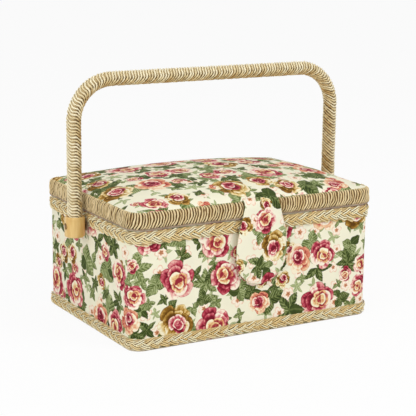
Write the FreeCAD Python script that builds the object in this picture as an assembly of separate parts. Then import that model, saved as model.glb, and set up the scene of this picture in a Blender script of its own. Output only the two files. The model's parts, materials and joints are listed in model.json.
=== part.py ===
import FreeCAD, Part

import math
import os

from FreeCAD import Vector

# Outside of the printed cloth round the box, and the layers of its wall and floor
BOX_LENGTH = 294.0
BOX_DEPTH = 210.0
CORNER_RADIUS = 14.0
MOUTH_TOP = 126.0
BASE_CARD = 1.0
BASE_BOARD = 4.0
CLOTH = 0.8
WALL = 4.0
LINING = 0.6
FLOOR_PAD = 4.0
FLOOR_PAD_EDGE = 2.4
FLOOR_PAD_GAP = 0.3

# Straw bands round the mouth and the foot
UPPER_BRAID_HEIGHT = 15.8
UPPER_BRAID_THICK = 3.0
UPPER_BRAID_DROP = 0.2
LOWER_BRAID_LIFT = 0.4
LOWER_BRAID_HEIGHT = 13.6
LOWER_BRAID_THICK = 2.5
RIM_FOOT_EDGE = 1.6
UPPER_LOBE = 11.5
LOWER_LOBE = 11.2
LOBE_RELIEF = 1.0
LOBE_LEAN = 0.9
LOBE_FORM = ((0.0, 1.0), (0.22, 0.0), (0.78, 0.0))

# Lid
LID_GAP = 0.4
TAPE_THICK = 1.0
TAPE_SETBACK = 0.6
RIM_HEIGHT = 16.6
RIM_THICK = 4.0
RIM_EDGE = 6.0
LID_FRAME_THICK = 6.0
LID_FRAME_HEIGHT = 12.6
LID_BOARD_THICK = 3.0
CROWN = 17.0
CROWN_LEVELS = (0.0, 0.16, 0.36, 0.58, 0.78, 0.92, 0.98)
CUSHION_LENGTH = 76.0
CUSHION_WIDTH = 46.0
CUSHION_DEPTH = 9.5
CUSHION_Y = 15.0
CUSHION_FORM = ((0.0, 0.0), (0.04, 0.25), (0.14, 0.57), (0.34, 0.86), (0.62, 1.0))

# Closing flap: its form is given as shares of its length down from the hinge line
FLAP_X = 1.5
FLAP_LENGTH = 86.0
FLAP_THICK = 3.0
FLAP_ROLL = 1.7
FLAP_STAND = 2.3
FLAP_HINGE_DROP = 4.0
FLAP_HEAD_HALF = 21.2
FLAP_HALF_WIDTHS = ((0.163, 24.8), (0.326, 29.0), (0.488, 31.2), (0.64, 31.0))
FLAP_BOW = ((0.93, -0.8), (0.756, -0.1), (0.558, 1.0), (0.349, 1.7), (0.163, 1.1), (0.0, 0.8))
MAGNET_RADIUS = 6.0
MAGNET_THICK = 2.0
MAGNET_FROM_TIP = 16.0
MAGNET_FIT = 0.1
STRIKE_RADIUS = 8.0
STRIKE_THICK = 1.2
STRIKE_FIT = 0.15
ROOT_GAP = 0.4
ROOT_THICK = 1.6
ROOT_MARGIN = 0.6

# Handle and its pivots
PIVOT_RISE = 2.5
HANDLE_RISE = 153.0
HANDLE_BEND = 43.0
CORE_RADIUS = 5.0
WRAP_RADIUS = 8.0
FERRULE_RADIUS = 10.9
FERRULE_BELOW = 11.8
FERRULE_ABOVE = 10.0
FERRULE_FLOOR = 2.5
FERRULE_EDGE = 1.2
CUP_DEPTH = 4.8
CUP_PLAY = 0.1
FERRULE_PLAY = 0.3
SCREW_RADIUS = 2.0
SCREW_RUN = 0.05
SCREW_FIX = 0.15
HEAD_RADIUS = 3.3
HEAD_THICK = 2.2
HEAD_EDGE = 0.9
HEAD_SINK = 0.4
HEAD_CLEAR = 0.4
HEAD_PLAY = 0.2
SLOT_WIDTH = 0.9
SLOT_DEPTH = 0.8
WASHERS = ((6.8, 0.4), (4.8, 0.3), (6.2, 0.3))
INNER_WASHER_RADIUS = 6.5
INNER_WASHER_THICK = 1.0
NUT_RADIUS = 4.2
NUT_DOME_RADIUS = 3.4
NUT_LENGTH = 4.6
NUT_CAP = 1.4
NUT_EDGE = 1.2

# Hinges on the back
HINGE_FROM_END = 65.0
HINGE_WIDTH = 24.0
MIDDLE_KNUCKLE = 10.0
KNUCKLE_GAP = 0.2
KNUCKLE_RADIUS = 2.2
KNUCKLE_CLEAR = 0.4
HINGE_PIN_RADIUS = 1.0
HINGE_PIN_HEAD = 1.7
HINGE_PIN_HEAD_THICK = 0.8
HINGE_RUN = 0.05
LEAF_THICK = 1.0
LEAF_MARGIN = 3.0
LEAF_GAP = 0.4
RIVET_RADIUS = 1.2
RIVET_HEAD = 2.2
RIVET_HEAD_THICK = 0.8
RIVET_FIX = 0.05
RIVET_EDGE = 4.0

# Tray and the battens that carry it
TRAY_END_GAP = 7.1
TRAY_SIDE_GAP = 4.1
TRAY_RADIUS = 10.0
TRAY_WALL = 1.8
TRAY_HEIGHT = 39.7
TRAY_LIP = 2.5
TRAY_EDGE = 3.0
TRAY_SEAT = 0.3
TRAY_DIVIDER_DROP = 4.0
TRAY_LEFT_ROOM = 80.0
TRAY_RIGHT_ROOM = 88.0
TRAY_LONG_Y = 6.0
LEDGE_TOP = 64.0
LEDGE_THICK = 7.0
LEDGE_LAP = 3.4
LEDGE_FROM_CORNER = 19.6

# Levels and faces that the pieces share
WALL_INSET = CLOTH
LINING_INSET = WALL_INSET + WALL
ROOM_INSET = LINING_INSET + LINING
FLOOR_Z = BASE_CARD + BASE_BOARD
WALL_TOP = MOUTH_TOP - CLOTH
ROOM_HALF_X = BOX_LENGTH / 2 - ROOM_INSET
ROOM_HALF_Y = BOX_DEPTH / 2 - ROOM_INSET
UPPER_BRAID_TOP = MOUTH_TOP - UPPER_BRAID_DROP
UPPER_BRAID_FOOT = UPPER_BRAID_TOP - UPPER_BRAID_HEIGHT
LOWER_BRAID_TOP = LOWER_BRAID_LIFT + LOWER_BRAID_HEIGHT
BRAID_FACE_X = BOX_LENGTH / 2 + UPPER_BRAID_THICK
BRAID_FACE_Y = BOX_DEPTH / 2 + UPPER_BRAID_THICK
STRAIGHT_X = BOX_LENGTH - 2 * CORNER_RADIUS
STRAIGHT_Y = BOX_DEPTH - 2 * CORNER_RADIUS
CORNER_LENGTH = CORNER_RADIUS * math.pi / 2
ROUND_LENGTH = 2 * (STRAIGHT_X + STRAIGHT_Y) + 4 * CORNER_LENGTH
RIM_INSET = -UPPER_BRAID_THICK
FRAME_INSET = RIM_INSET + RIM_THICK
RECESS_INSET = FRAME_INSET + LID_FRAME_THICK
LID_FOOT = MOUTH_TOP + LID_GAP
FRAME_FOOT = LID_FOOT + TAPE_THICK
RIM_TOP = FRAME_FOOT + RIM_HEIGHT
LID_FRAME_TOP = FRAME_FOOT + LID_FRAME_HEIGHT
PAD_FOOT = LID_FRAME_TOP + LID_BOARD_THICK
FLAP_AXIS_Y = -(BRAID_FACE_Y + FLAP_STAND)
FLAP_AXIS_Z = RIM_TOP - FLAP_HINGE_DROP
FLAP_TIP = FLAP_AXIS_Z - FLAP_LENGTH
MAGNET_Z = FLAP_TIP + MAGNET_FROM_TIP
MAGNET_FACE_Y = -(BRAID_FACE_Y - LEAF_GAP + MAGNET_FIT)
WASHER_STACK = sum(thick for _, thick in WASHERS)
PIVOT_Z = UPPER_BRAID_FOOT + PIVOT_RISE
BAR_Z = PIVOT_Z + HANDLE_RISE
HANDLE_HALF_SPAN = BRAID_FACE_X + WASHER_STACK + FERRULE_PLAY + FERRULE_RADIUS
FERRULE_FOOT = PIVOT_Z - FERRULE_BELOW
FERRULE_TOP = PIVOT_Z + FERRULE_ABOVE
CORE_FOOT = FERRULE_FOOT + FERRULE_FLOOR
HEAD_SEAT = HANDLE_HALF_SPAN + FERRULE_RADIUS - HEAD_SINK - HEAD_THICK
NUT_FACE = ROOM_HALF_X - INNER_WASHER_THICK
HINGE_X = BOX_LENGTH / 2 - HINGE_FROM_END
HINGE_AXIS_Y = BRAID_FACE_Y + KNUCKLE_RADIUS + KNUCKLE_CLEAR
HINGE_AXIS_Z = (MOUTH_TOP + LID_FOOT) / 2
BOX_LEAF_Z = (UPPER_BRAID_FOOT + LEAF_MARGIN, HINGE_AXIS_Z - KNUCKLE_RADIUS - LEAF_GAP)
LID_LEAF_Z = (HINGE_AXIS_Z + KNUCKLE_RADIUS + LEAF_GAP, RIM_TOP - RIM_EDGE - LEAF_GAP)
TRAY_HALF_X = ROOM_HALF_X - TRAY_END_GAP - TRAY_LIP
TRAY_HALF_Y = ROOM_HALF_Y - TRAY_SIDE_GAP - TRAY_LIP
TRAY_FOOT = LEDGE_TOP + TRAY_SEAT
TRAY_TOP = TRAY_FOOT + TRAY_HEIGHT
TRAY_DIVIDER_TOP = TRAY_TOP - TRAY_DIVIDER_DROP
TRAY_CROSS_X = (TRAY_LEFT_ROOM - TRAY_HALF_X, TRAY_HALF_X - TRAY_RIGHT_ROOM)
LEDGE_DEPTH = TRAY_END_GAP + TRAY_LIP + LEDGE_LAP
LEDGE_HALF_Y = ROOM_HALF_Y - LEDGE_FROM_CORNER
REACH = BOX_LENGTH + BOX_DEPTH + HANDLE_RISE

X_AXIS = Vector(1, 0, 0)
Y_AXIS = Vector(0, 1, 0)
Z_AXIS = Vector(0, 0, 1)


def outline(half_x, half_y, radius, z):
    """Closed rounded rectangle at height z."""
    cx = half_x - radius
    cy = half_y - radius
    centres = ((cx, cy), (-cx, cy), (-cx, -cy), (cx, -cy))
    arcs = []
    for turn, (x, y) in enumerate(centres):
        arcs.append(Part.makeCircle(radius, Vector(x, y, z), Z_AXIS, 90 * turn, 90 * turn + 90))
    edges = []
    for arc, after in zip(arcs, arcs[1:] + arcs[:1]):
        edges.append(arc)
        edges.append(Part.makeLine(arc.valueAt(arc.LastParameter), after.valueAt(after.FirstParameter)))
    return Part.Wire(edges)


def slab(inset, z0, z1):
    """Solid of the box's plan, moved in by inset from the outside of the printed cloth."""
    plan = outline(BOX_LENGTH / 2 - inset, BOX_DEPTH / 2 - inset, CORNER_RADIUS - inset, z0)
    return Part.Face(plan).extrude(Vector(0, 0, z1 - z0))


def band(outer, inner, z0, z1):
    """Ring between two insets of the box's plan."""
    return slab(outer, z0, z1).cut(slab(inner, z0 - 1, z1 + 1))


def round_point(share, grow, z):
    """Point at a share of the way round the box's plan, moved out by grow."""
    walk = share % 1 * ROUND_LENGTH
    for turn, (x, y) in enumerate(((1, -1), (1, 1), (-1, 1), (-1, -1))):
        run = (STRAIGHT_X, STRAIGHT_Y)[turn % 2]
        angle = math.pi / 2 * (turn - 1) + min(max(walk - run, 0) / CORNER_RADIUS, math.pi / 2)
        if walk <= run + CORNER_LENGTH:
            break
        walk -= run + CORNER_LENGTH
    out = Vector(math.cos(angle), math.sin(angle), 0)
    ahead = Vector(-out.y, out.x, 0)
    centre = Vector(x * STRAIGHT_X / 2, y * STRAIGHT_Y / 2, z)
    return centre + out * (CORNER_RADIUS + grow) + ahead * min(walk - run, 0)


def lobed_outline(thick, lobes, lean, z):
    """Corners of a band's outer face at height z, a groove between each two lobes."""
    points = []
    for lobe in range(lobes):
        for share, sink in LOBE_FORM:
            points.append(round_point((lobe + share + lean) / lobes, thick - sink * LOBE_RELIEF, z))
    return points + points[:1]


def flat_faces(a, b, c, d):
    """Face on four corners in turn, or two where the corners aren't level."""
    if abs((b - a).cross(c - a).dot(d - a)) < 1e-6:
        return [Part.Face(Part.makePolygon([a, b, c, d, a]))]
    return [Part.Face(Part.makePolygon([a, b, c, a])), Part.Face(Part.makePolygon([a, c, d, a]))]


def plaited_band(thick, pitch, foot, top):
    """Straw band of slanting lobes in two rows that meet along its middle."""
    lobes = round(ROUND_LENGTH / pitch)
    levels = ((foot, LOBE_LEAN), ((foot + top) / 2, 0), (top, LOBE_LEAN))
    rows = [lobed_outline(thick, lobes, lean, z) for z, lean in levels]
    faces = [Part.Face(Part.makePolygon(rows[0])), Part.Face(Part.makePolygon(rows[-1]))]
    for low, high in zip(rows, rows[1:]):
        for a, b, c, d in zip(low, low[1:], high, high[1:]):
            faces += flat_faces(a, b, d, c)
    shell = Part.makeShell(faces)
    shell.sewShape()
    return Part.makeSolid(shell).cut(slab(0, foot - 1, top + 1))


def round_edges(shape, z, radius):
    """Round every edge that lies at height z."""
    edges = [edge for edge in shape.Edges if all(abs(v.Z - z) < 1e-6 for v in edge.Vertexes)]
    return shape.makeFillet(radius, edges)


def box(x0, x1, y0, y1, z0, z1):
    """Block between two corners."""
    return Part.makeBox(x1 - x0, y1 - y0, z1 - z0, Vector(x0, y0, z0))


def rod_x(radius, x0, x1, y, z):
    """Cylinder along X."""
    return Part.makeCylinder(radius, x1 - x0, Vector(x0, y, z), X_AXIS)


def rod_y(radius, y0, y1, x, z):
    """Cylinder along Y."""
    return Part.makeCylinder(radius, y1 - y0, Vector(x, y0, z), Y_AXIS)


def loft(sections):
    """Soft solid through rounded rectangles given as half_x, half_y, radius, z."""
    return Part.makeLoft([outline(*section) for section in sections], True, False)


def pivot_holes(shape, radius):
    """Cut both pivot holes along X."""
    return shape.cut(rod_x(radius, -REACH, REACH, 0, PIVOT_Z))


def hinge_positions():
    """Centre of each hinge along X, by side."""
    return {"left": -HINGE_X, "right": HINGE_X}


def rivet_points(z_range):
    """Centres of the rivets of both leaves at one level."""
    z = sum(z_range) / 2
    step = HINGE_WIDTH / 2 - RIVET_EDGE
    return [(x + side * step, z) for x in hinge_positions().values() for side in (-1, 1)]


def rivet_holes(shape, z_range):
    """Cut the rivet holes of one row through the back."""
    for x, z in rivet_points(z_range):
        shape = shape.cut(rod_y(RIVET_RADIUS + RIVET_FIX, 0, REACH, x, z))
    return shape


def make_box_shell():
    """Board shell, cloth skins, straw bands and floor of the box."""
    hole = SCREW_RADIUS + SCREW_FIX
    wall = band(WALL_INSET, LINING_INSET, BASE_CARD, WALL_TOP)
    face = -BOX_DEPTH / 2 + CLOTH
    wall = wall.cut(rod_y(STRIKE_RADIUS + STRIKE_FIT, face - WALL, face + STRIKE_THICK, FLAP_X, MAGNET_Z))
    cover = band(0, CLOTH, BASE_CARD, WALL_TOP)
    tube = band(LINING_INSET, ROOM_INSET, FLOOR_Z, WALL_TOP)
    lining = tube.fuse(band(0, ROOM_INSET, WALL_TOP, MOUTH_TOP)).removeSplitter()
    upper = plaited_band(UPPER_BRAID_THICK, UPPER_LOBE, UPPER_BRAID_FOOT, UPPER_BRAID_TOP)
    lower = plaited_band(LOWER_BRAID_THICK, LOWER_LOBE, LOWER_BRAID_LIFT, LOWER_BRAID_TOP)
    pad = slab(ROOM_INSET + FLOOR_PAD_GAP, FLOOR_Z, FLOOR_Z + FLOOR_PAD)
    parts = {
        "wall_band": wall,
        "side_cover": cover,
        "side_lining": lining,
        "upper_braid": upper,
    }
    for name in parts:
        parts[name] = rivet_holes(pivot_holes(parts[name], hole), BOX_LEAF_Z)
    parts["lower_braid"] = lower
    parts["base_board"] = slab(LINING_INSET, BASE_CARD, FLOOR_Z)
    parts["base_cover"] = slab(0, 0, BASE_CARD)
    parts["floor_pad"] = round_edges(pad, FLOOR_Z + FLOOR_PAD, FLOOR_PAD_EDGE)
    strike = rod_y(STRIKE_RADIUS, face, face + STRIKE_THICK, FLAP_X, MAGNET_Z)
    parts["strike_disc"] = strike
    return parts


def crown(side, drop):
    """Crowned pad whose plan is moved in by side and whose top is lowered by drop."""
    half_x = BOX_LENGTH / 2 - FRAME_INSET - side
    half_y = BOX_DEPTH / 2 - FRAME_INSET - side
    sections = []
    for level in CROWN_LEVELS:
        size = math.sqrt(1 - level ** 2)
        corner = (1 - math.sqrt(1 - level) / size) / (1 - math.sqrt(0.5))
        radius = max(CORNER_RADIUS - FRAME_INSET, min(corner, 0.9) * half_y * size)
        sections.append((half_x * size, half_y * size, radius, PAD_FOOT + level * (CROWN - drop)))
    return loft(sections)


def make_lid():
    """Padded lid with its wrapped rim, lining and pin cushion."""
    rim = slab(RIM_INSET, FRAME_FOOT, RIM_TOP)
    rim = round_edges(rim, RIM_TOP, RIM_EDGE)
    rim = round_edges(rim, FRAME_FOOT, RIM_FOOT_EDGE)
    rim = rim.cut(slab(FRAME_INSET, FRAME_FOOT - 1, RIM_TOP + 1))
    frame = band(FRAME_INSET, RECESS_INSET, FRAME_FOOT, LID_FRAME_TOP)
    pad = crown(CLOTH, CLOTH)
    ceiling = LID_FRAME_TOP - LINING
    cushion = []
    for share, sink in CUSHION_FORM:
        half_x = CUSHION_LENGTH / 2 - share * CUSHION_WIDTH / 2
        half_y = CUSHION_WIDTH / 2 * (1 - share)
        cushion.append((half_x, half_y, half_y * 0.55, ceiling - sink * CUSHION_DEPTH))
    cushion = loft(cushion)
    cushion.translate(Vector(0, CUSHION_Y, 0))
    return {
        "lid_frame": rivet_holes(frame, LID_LEAF_Z),
        "lid_board": slab(FRAME_INSET, LID_FRAME_TOP, PAD_FOOT),
        "lid_pad": pad,
        "lid_cover": crown(0, 0).cut(pad),
        "lid_rim_wrap": rivet_holes(rim, LID_LEAF_Z),
        "lid_edge_tape": band(RIM_INSET + TAPE_SETBACK, RECESS_INSET, LID_FOOT, FRAME_FOOT),
        "lid_lining": slab(RECESS_INSET, ceiling, LID_FRAME_TOP),
        "pin_cushion": cushion,
        "flap_root": make_flap_root(),
    }


def make_flap_root():
    """Strip of the tab that crosses the rim's round edge."""
    y = -(BRAID_FACE_Y - RIM_EDGE)
    z = RIM_TOP - RIM_EDGE
    half = FLAP_HEAD_HALF - ROOT_MARGIN
    radius = RIM_EDGE + ROOT_GAP
    strip = rod_x(radius + ROOT_THICK, FLAP_X - half, FLAP_X + half, y, z)
    strip = strip.cut(rod_x(radius, -REACH, REACH, y, z))
    seam_y = -(BOX_DEPTH / 2 - FRAME_INSET) - ROOT_GAP
    return strip.common(box(-REACH, REACH, -REACH, seam_y, FLAP_AXIS_Z + FLAP_ROLL, REACH))


def curve(points):
    """Smooth edge through points."""
    spline = Part.BSplineCurve()
    spline.interpolate(points)
    return spline.toShape()


def flap_point(share, y, x=0):
    """Point at a share of the flap's length below its hinge line."""
    return Vector(x, y, FLAP_AXIS_Z - share * FLAP_LENGTH)


def flap_sheet():
    """Bowed sheet that the flap is cut from."""
    tip_share = 1.02
    bow = ((tip_share, FLAP_BOW[0][1] - ROOT_GAP / 2),) + FLAP_BOW
    inner = [flap_point(share, -(BRAID_FACE_Y + stand)) for share, stand in bow]
    outer = [p - Vector(0, FLAP_THICK, 0) for p in inner]
    ends = [Part.makeLine(inner[0], outer[0]), Part.makeLine(inner[-1], outer[-1])]
    side = Part.Face(Part.Wire(Part.__sortEdges__([curve(inner), curve(outer)] + ends)))
    side.translate(Vector(-REACH, 0, 0))
    return side.extrude(Vector(2 * REACH, 0, 0))


def flap_plan():
    """Front outline of the flap, run through the whole depth."""
    widths = ((0.0002, FLAP_HEAD_HALF),) + FLAP_HALF_WIDTHS
    rights = [flap_point(share, 0, FLAP_X + half) for share, half in widths]
    lefts = [flap_point(share, 0, FLAP_X - half) for share, half in widths]
    tip = Part.Arc(rights[-1], Vector(FLAP_X, 0, FLAP_TIP), lefts[-1]).toShape()
    head = Part.makeLine(lefts[0], rights[0])
    edges = [curve(rights), curve(lefts), tip, head]
    plan = Part.Face(Part.Wire(Part.__sortEdges__(edges)))
    return plan.extrude(Vector(0, -REACH, 0))


def make_flap():
    """Round-ended closing tab with its magnet, hung on a rolled hem."""
    tab = flap_sheet().common(flap_plan())
    x0 = FLAP_X - FLAP_HEAD_HALF
    x1 = FLAP_X + FLAP_HEAD_HALF
    tab = tab.fuse(rod_x(FLAP_ROLL, x0, x1, FLAP_AXIS_Y, FLAP_AXIS_Z)).removeSplitter()
    back = MAGNET_FACE_Y - MAGNET_THICK
    tab = tab.cut(rod_y(MAGNET_RADIUS + MAGNET_FIT, back, 0, FLAP_X, MAGNET_Z))
    magnet = rod_y(MAGNET_RADIUS, back, MAGNET_FACE_Y, FLAP_X, MAGNET_Z)
    return {"flap_tab": tab, "flap_magnet": magnet}


def handle_path(foot):
    """Centre line of the handle, from one foot up over the bar to the other."""
    x = HANDLE_HALF_SPAN
    r = HANDLE_BEND
    bow = r * math.sqrt(0.5)
    corner = Vector(-x + r, 0, BAR_Z - r)
    other = Vector(x - r, 0, BAR_Z - r)
    points = [Vector(-x, 0, foot), Vector(-x, 0, BAR_Z - r), Vector(-x + r, 0, BAR_Z)]
    back = [Vector(x - r, 0, BAR_Z), Vector(x, 0, BAR_Z - r), Vector(x, 0, foot)]
    return Part.Wire([
        Part.makeLine(points[0], points[1]),
        Part.Arc(points[1], corner + Vector(-bow, 0, bow), points[2]).toShape(),
        Part.makeLine(points[2], back[0]),
        Part.Arc(back[0], other + Vector(bow, 0, bow), back[1]).toShape(),
        Part.makeLine(back[1], back[2]),
    ])


def bent_rod(radius, foot):
    """Round bar that follows the handle's centre line."""
    start = Part.Wire(Part.makeCircle(radius, Vector(-HANDLE_HALF_SPAN, 0, foot), Z_AXIS))
    return handle_path(foot).makePipeShell([start], True, False)


def make_ferrule(side):
    """Turned cup on one end of the handle, with the screw's bore and head recess."""
    x = side * HANDLE_HALF_SPAN
    edge = FERRULE_EDGE
    profile = [
        Vector(x, 0, FERRULE_FOOT),
        Vector(x + FERRULE_RADIUS - edge, 0, FERRULE_FOOT),
        Vector(x + FERRULE_RADIUS, 0, FERRULE_FOOT + edge),
        Vector(x + FERRULE_RADIUS, 0, FERRULE_TOP - edge),
        Vector(x + FERRULE_RADIUS - edge, 0, FERRULE_TOP),
        Vector(x, 0, FERRULE_TOP),
        Vector(x, 0, FERRULE_FOOT),
    ]
    cup = Part.Face(Part.makePolygon(profile)).revolve(Vector(x, 0, 0), Z_AXIS, 360)
    depth = FERRULE_TOP - FERRULE_FOOT - FERRULE_FLOOR
    cup = cup.cut(Part.makeCylinder(CORE_RADIUS, depth + 1, Vector(x, 0, FERRULE_FOOT + FERRULE_FLOOR)))
    mouth = Vector(x, 0, FERRULE_TOP - CUP_DEPTH)
    cup = cup.cut(Part.makeCylinder(WRAP_RADIUS + CUP_PLAY, CUP_DEPTH + REACH, mouth))
    cup = pivot_holes(cup, SCREW_RADIUS + SCREW_RUN)
    recess = rod_x(HEAD_RADIUS + HEAD_CLEAR, HEAD_SEAT - HEAD_PLAY, REACH, 0, PIVOT_Z)
    return cup.cut(recess if side > 0 else mirror_x(recess))


def mirror_x(shape):
    """Copy on the other side of the middle plane."""
    return shape.mirror(Vector(0, 0, 0), X_AXIS)


def make_handle():
    """Cane core, straw sleeve and the two cups."""
    core = pivot_holes(bent_rod(CORE_RADIUS, CORE_FOOT), SCREW_RADIUS + SCREW_RUN)
    sleeve = bent_rod(WRAP_RADIUS, FERRULE_TOP - CUP_DEPTH).cut(bent_rod(CORE_RADIUS, CORE_FOOT))
    return {
        "handle_core": core,
        "handle_wrap": sleeve,
        "ferrule_left": make_ferrule(-1),
        "ferrule_right": make_ferrule(1),
    }


def make_screw():
    """Right-hand pivot screw with a slotted round head."""
    crest = HEAD_SEAT + HEAD_THICK
    shank = rod_x(SCREW_RADIUS, NUT_FACE - NUT_LENGTH + NUT_CAP + SCREW_FIX, HEAD_SEAT, 0, PIVOT_Z)
    head = rod_x(HEAD_RADIUS, HEAD_SEAT, crest, 0, PIVOT_Z)
    rim = [edge for edge in head.Edges if abs(edge.BoundBox.XMin - crest) < 1e-6]
    screw = shank.fuse(head.makeFillet(HEAD_EDGE, rim)).removeSplitter()
    half = SLOT_WIDTH / 2
    return screw.cut(box(crest - SLOT_DEPTH, REACH, -half, half, 0, REACH))


def make_washers():
    """Right-hand washers: three between the ferrule and the box, one under the nut."""
    bore = rod_x(SCREW_RADIUS + SCREW_FIX, 0, REACH, 0, PIVOT_Z)
    stack = []
    x = BRAID_FACE_X
    for radius, thick in WASHERS:
        stack.append(rod_x(radius, x, x + thick, 0, PIVOT_Z).cut(bore))
        x += thick
    stack.append(rod_x(INNER_WASHER_RADIUS, NUT_FACE, ROOM_HALF_X, 0, PIVOT_Z).cut(bore))
    return Part.makeCompound(stack)


def make_nut():
    """Right-hand cap nut inside the box."""
    corners = []
    for step in range(7):
        turn = math.radians(60 * step)
        y = NUT_RADIUS * math.cos(turn)
        z = PIVOT_Z + NUT_RADIUS * math.sin(turn)
        corners.append(Vector(NUT_FACE, y, z))
    nut = Part.Face(Part.makePolygon(corners)).extrude(Vector(NUT_CAP - NUT_LENGTH, 0, 0))
    end = NUT_FACE - NUT_LENGTH
    dome = rod_x(NUT_DOME_RADIUS, end, NUT_FACE - NUT_CAP / 2, 0, PIVOT_Z)
    tip = [edge for edge in dome.Edges if abs(edge.BoundBox.XMax - end) < 1e-6]
    nut = nut.fuse(dome.makeFillet(NUT_EDGE, tip)).removeSplitter()
    return nut.cut(rod_x(SCREW_RADIUS + SCREW_FIX, end + NUT_CAP, REACH, 0, PIVOT_Z))


def make_pivots():
    """Both pivots."""
    rights = {"pivot_screw": make_screw(), "pivot_washers": make_washers(), "pivot_nut": make_nut()}
    parts = {}
    for name, shape in rights.items():
        parts[name + "_right"] = shape
        parts[name + "_left"] = mirror_x(shape)
    return parts


def make_leaf(x, z_range, knuckles):
    """Hinge leaf on the back face with its knuckles round the pin."""
    low, high = z_range
    half = HINGE_WIDTH / 2
    face = BRAID_FACE_Y
    leaf = box(x - half, x + half, face, face + LEAF_THICK, low, high)
    toward = high if high < HINGE_AXIS_Z else low
    for start, end in knuckles:
        x0 = x + start + KNUCKLE_GAP
        x1 = x + end - KNUCKLE_GAP
        reach = sorted((toward, HINGE_AXIS_Z))
        leaf = leaf.fuse(box(x0, x1, face, face + LEAF_THICK, reach[0], reach[1]))
        leaf = leaf.fuse(rod_x(KNUCKLE_RADIUS, x0, x1, HINGE_AXIS_Y, HINGE_AXIS_Z))
    bore = rod_x(HINGE_PIN_RADIUS + HINGE_RUN, -REACH, REACH, HINGE_AXIS_Y, HINGE_AXIS_Z)
    return rivet_holes(leaf.removeSplitter().cut(bore), z_range)


def make_rivets(z_range, room_y):
    """Rivets that hold both leaves of one row, headed outside and inside."""
    rivets = []
    outer = BRAID_FACE_Y + LEAF_THICK
    for x, z in rivet_points(z_range):
        shank = rod_y(RIVET_RADIUS, room_y - RIVET_HEAD_THICK, outer, x, z)
        head = rod_y(RIVET_HEAD, outer, outer + RIVET_HEAD_THICK, x, z)
        foot = rod_y(RIVET_HEAD, room_y - RIVET_HEAD_THICK, room_y, x, z)
        rivets.append(shank.fuse([head, foot]).removeSplitter())
    return Part.makeCompound(rivets)


def make_hinge_pin(x):
    """Pin of one hinge, headed at both ends."""
    half = HINGE_WIDTH / 2
    tall = HINGE_PIN_HEAD_THICK
    pin = rod_x(HINGE_PIN_RADIUS, x - half - tall, x + half + tall, HINGE_AXIS_Y, HINGE_AXIS_Z)
    for start in (x - half - tall, x + half):
        pin = pin.fuse(rod_x(HINGE_PIN_HEAD, start, start + tall, HINGE_AXIS_Y, HINGE_AXIS_Z))
    return pin.removeSplitter()


def make_hinges():
    """Both hinges, with pins and rivets."""
    half = HINGE_WIDTH / 2
    middle = MIDDLE_KNUCKLE / 2
    parts = {}
    for side, x in hinge_positions().items():
        parts["box_hinge_leaf_" + side] = make_leaf(x, BOX_LEAF_Z, ((-half, -middle), (middle, half)))
        parts["lid_hinge_leaf_" + side] = make_leaf(x, LID_LEAF_Z, ((-middle, middle),))
        parts["hinge_pin_" + side] = make_hinge_pin(x)
    parts["box_hinge_rivets"] = make_rivets(BOX_LEAF_Z, ROOM_HALF_Y)
    parts["lid_hinge_rivets"] = make_rivets(LID_LEAF_Z, BOX_DEPTH / 2 - RECESS_INSET)
    return parts


def tray_slab(grow, z0, z1):
    """Solid of the tray's plan, grown outward."""
    plan = outline(TRAY_HALF_X + grow, TRAY_HALF_Y + grow, TRAY_RADIUS + grow, z0)
    return Part.Face(plan).extrude(Vector(0, 0, z1 - z0))


def make_tray():
    """Lift-out tray with a turned-out lip and compartments, and the battens under it."""
    body = tray_slab(0, TRAY_FOOT, TRAY_TOP)
    body = round_edges(body, TRAY_FOOT, TRAY_EDGE)
    body = body.fuse(tray_slab(TRAY_LIP, TRAY_TOP - TRAY_WALL, TRAY_TOP)).removeSplitter()
    floor = TRAY_FOOT + TRAY_WALL
    tray = body.cut(tray_slab(-TRAY_WALL, floor, TRAY_TOP + 1))
    half = TRAY_WALL / 2
    inside = TRAY_HALF_Y - TRAY_WALL / 2
    for x in TRAY_CROSS_X:
        tray = tray.fuse(box(x - half, x + half, -inside, inside, floor - half, TRAY_DIVIDER_TOP))
    left, right = TRAY_CROSS_X
    y = TRAY_LONG_Y
    tray = tray.fuse(box(left, TRAY_HALF_X - half, y - half, y + half, floor - half, TRAY_DIVIDER_TOP))
    parts = {"tray": tray.removeSplitter()}
    low = LEDGE_TOP - LEDGE_THICK
    ledge = box(ROOM_HALF_X - LEDGE_DEPTH, ROOM_HALF_X, -LEDGE_HALF_Y, LEDGE_HALF_Y, low, LEDGE_TOP)
    parts["tray_ledge_right"] = ledge
    parts["tray_ledge_left"] = mirror_x(ledge)
    return parts


def main():
    os.makedirs("parts", exist_ok=True)
    for make in (make_box_shell, make_lid, make_flap, make_handle, make_pivots, make_hinges, make_tray):
        for name, shape in make().items():
            shape.exportStep("parts/" + name + ".step")


main()
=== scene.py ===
"""Looks of a cloth-covered sewing basket with straw trim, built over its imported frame."""
import json
import logging
import math
from dataclasses import dataclass, field
from enum import Enum
from typing import Callable, Optional, Sequence, Union

import bmesh
import bpy
from mathutils import Matrix, Vector, noise

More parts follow.
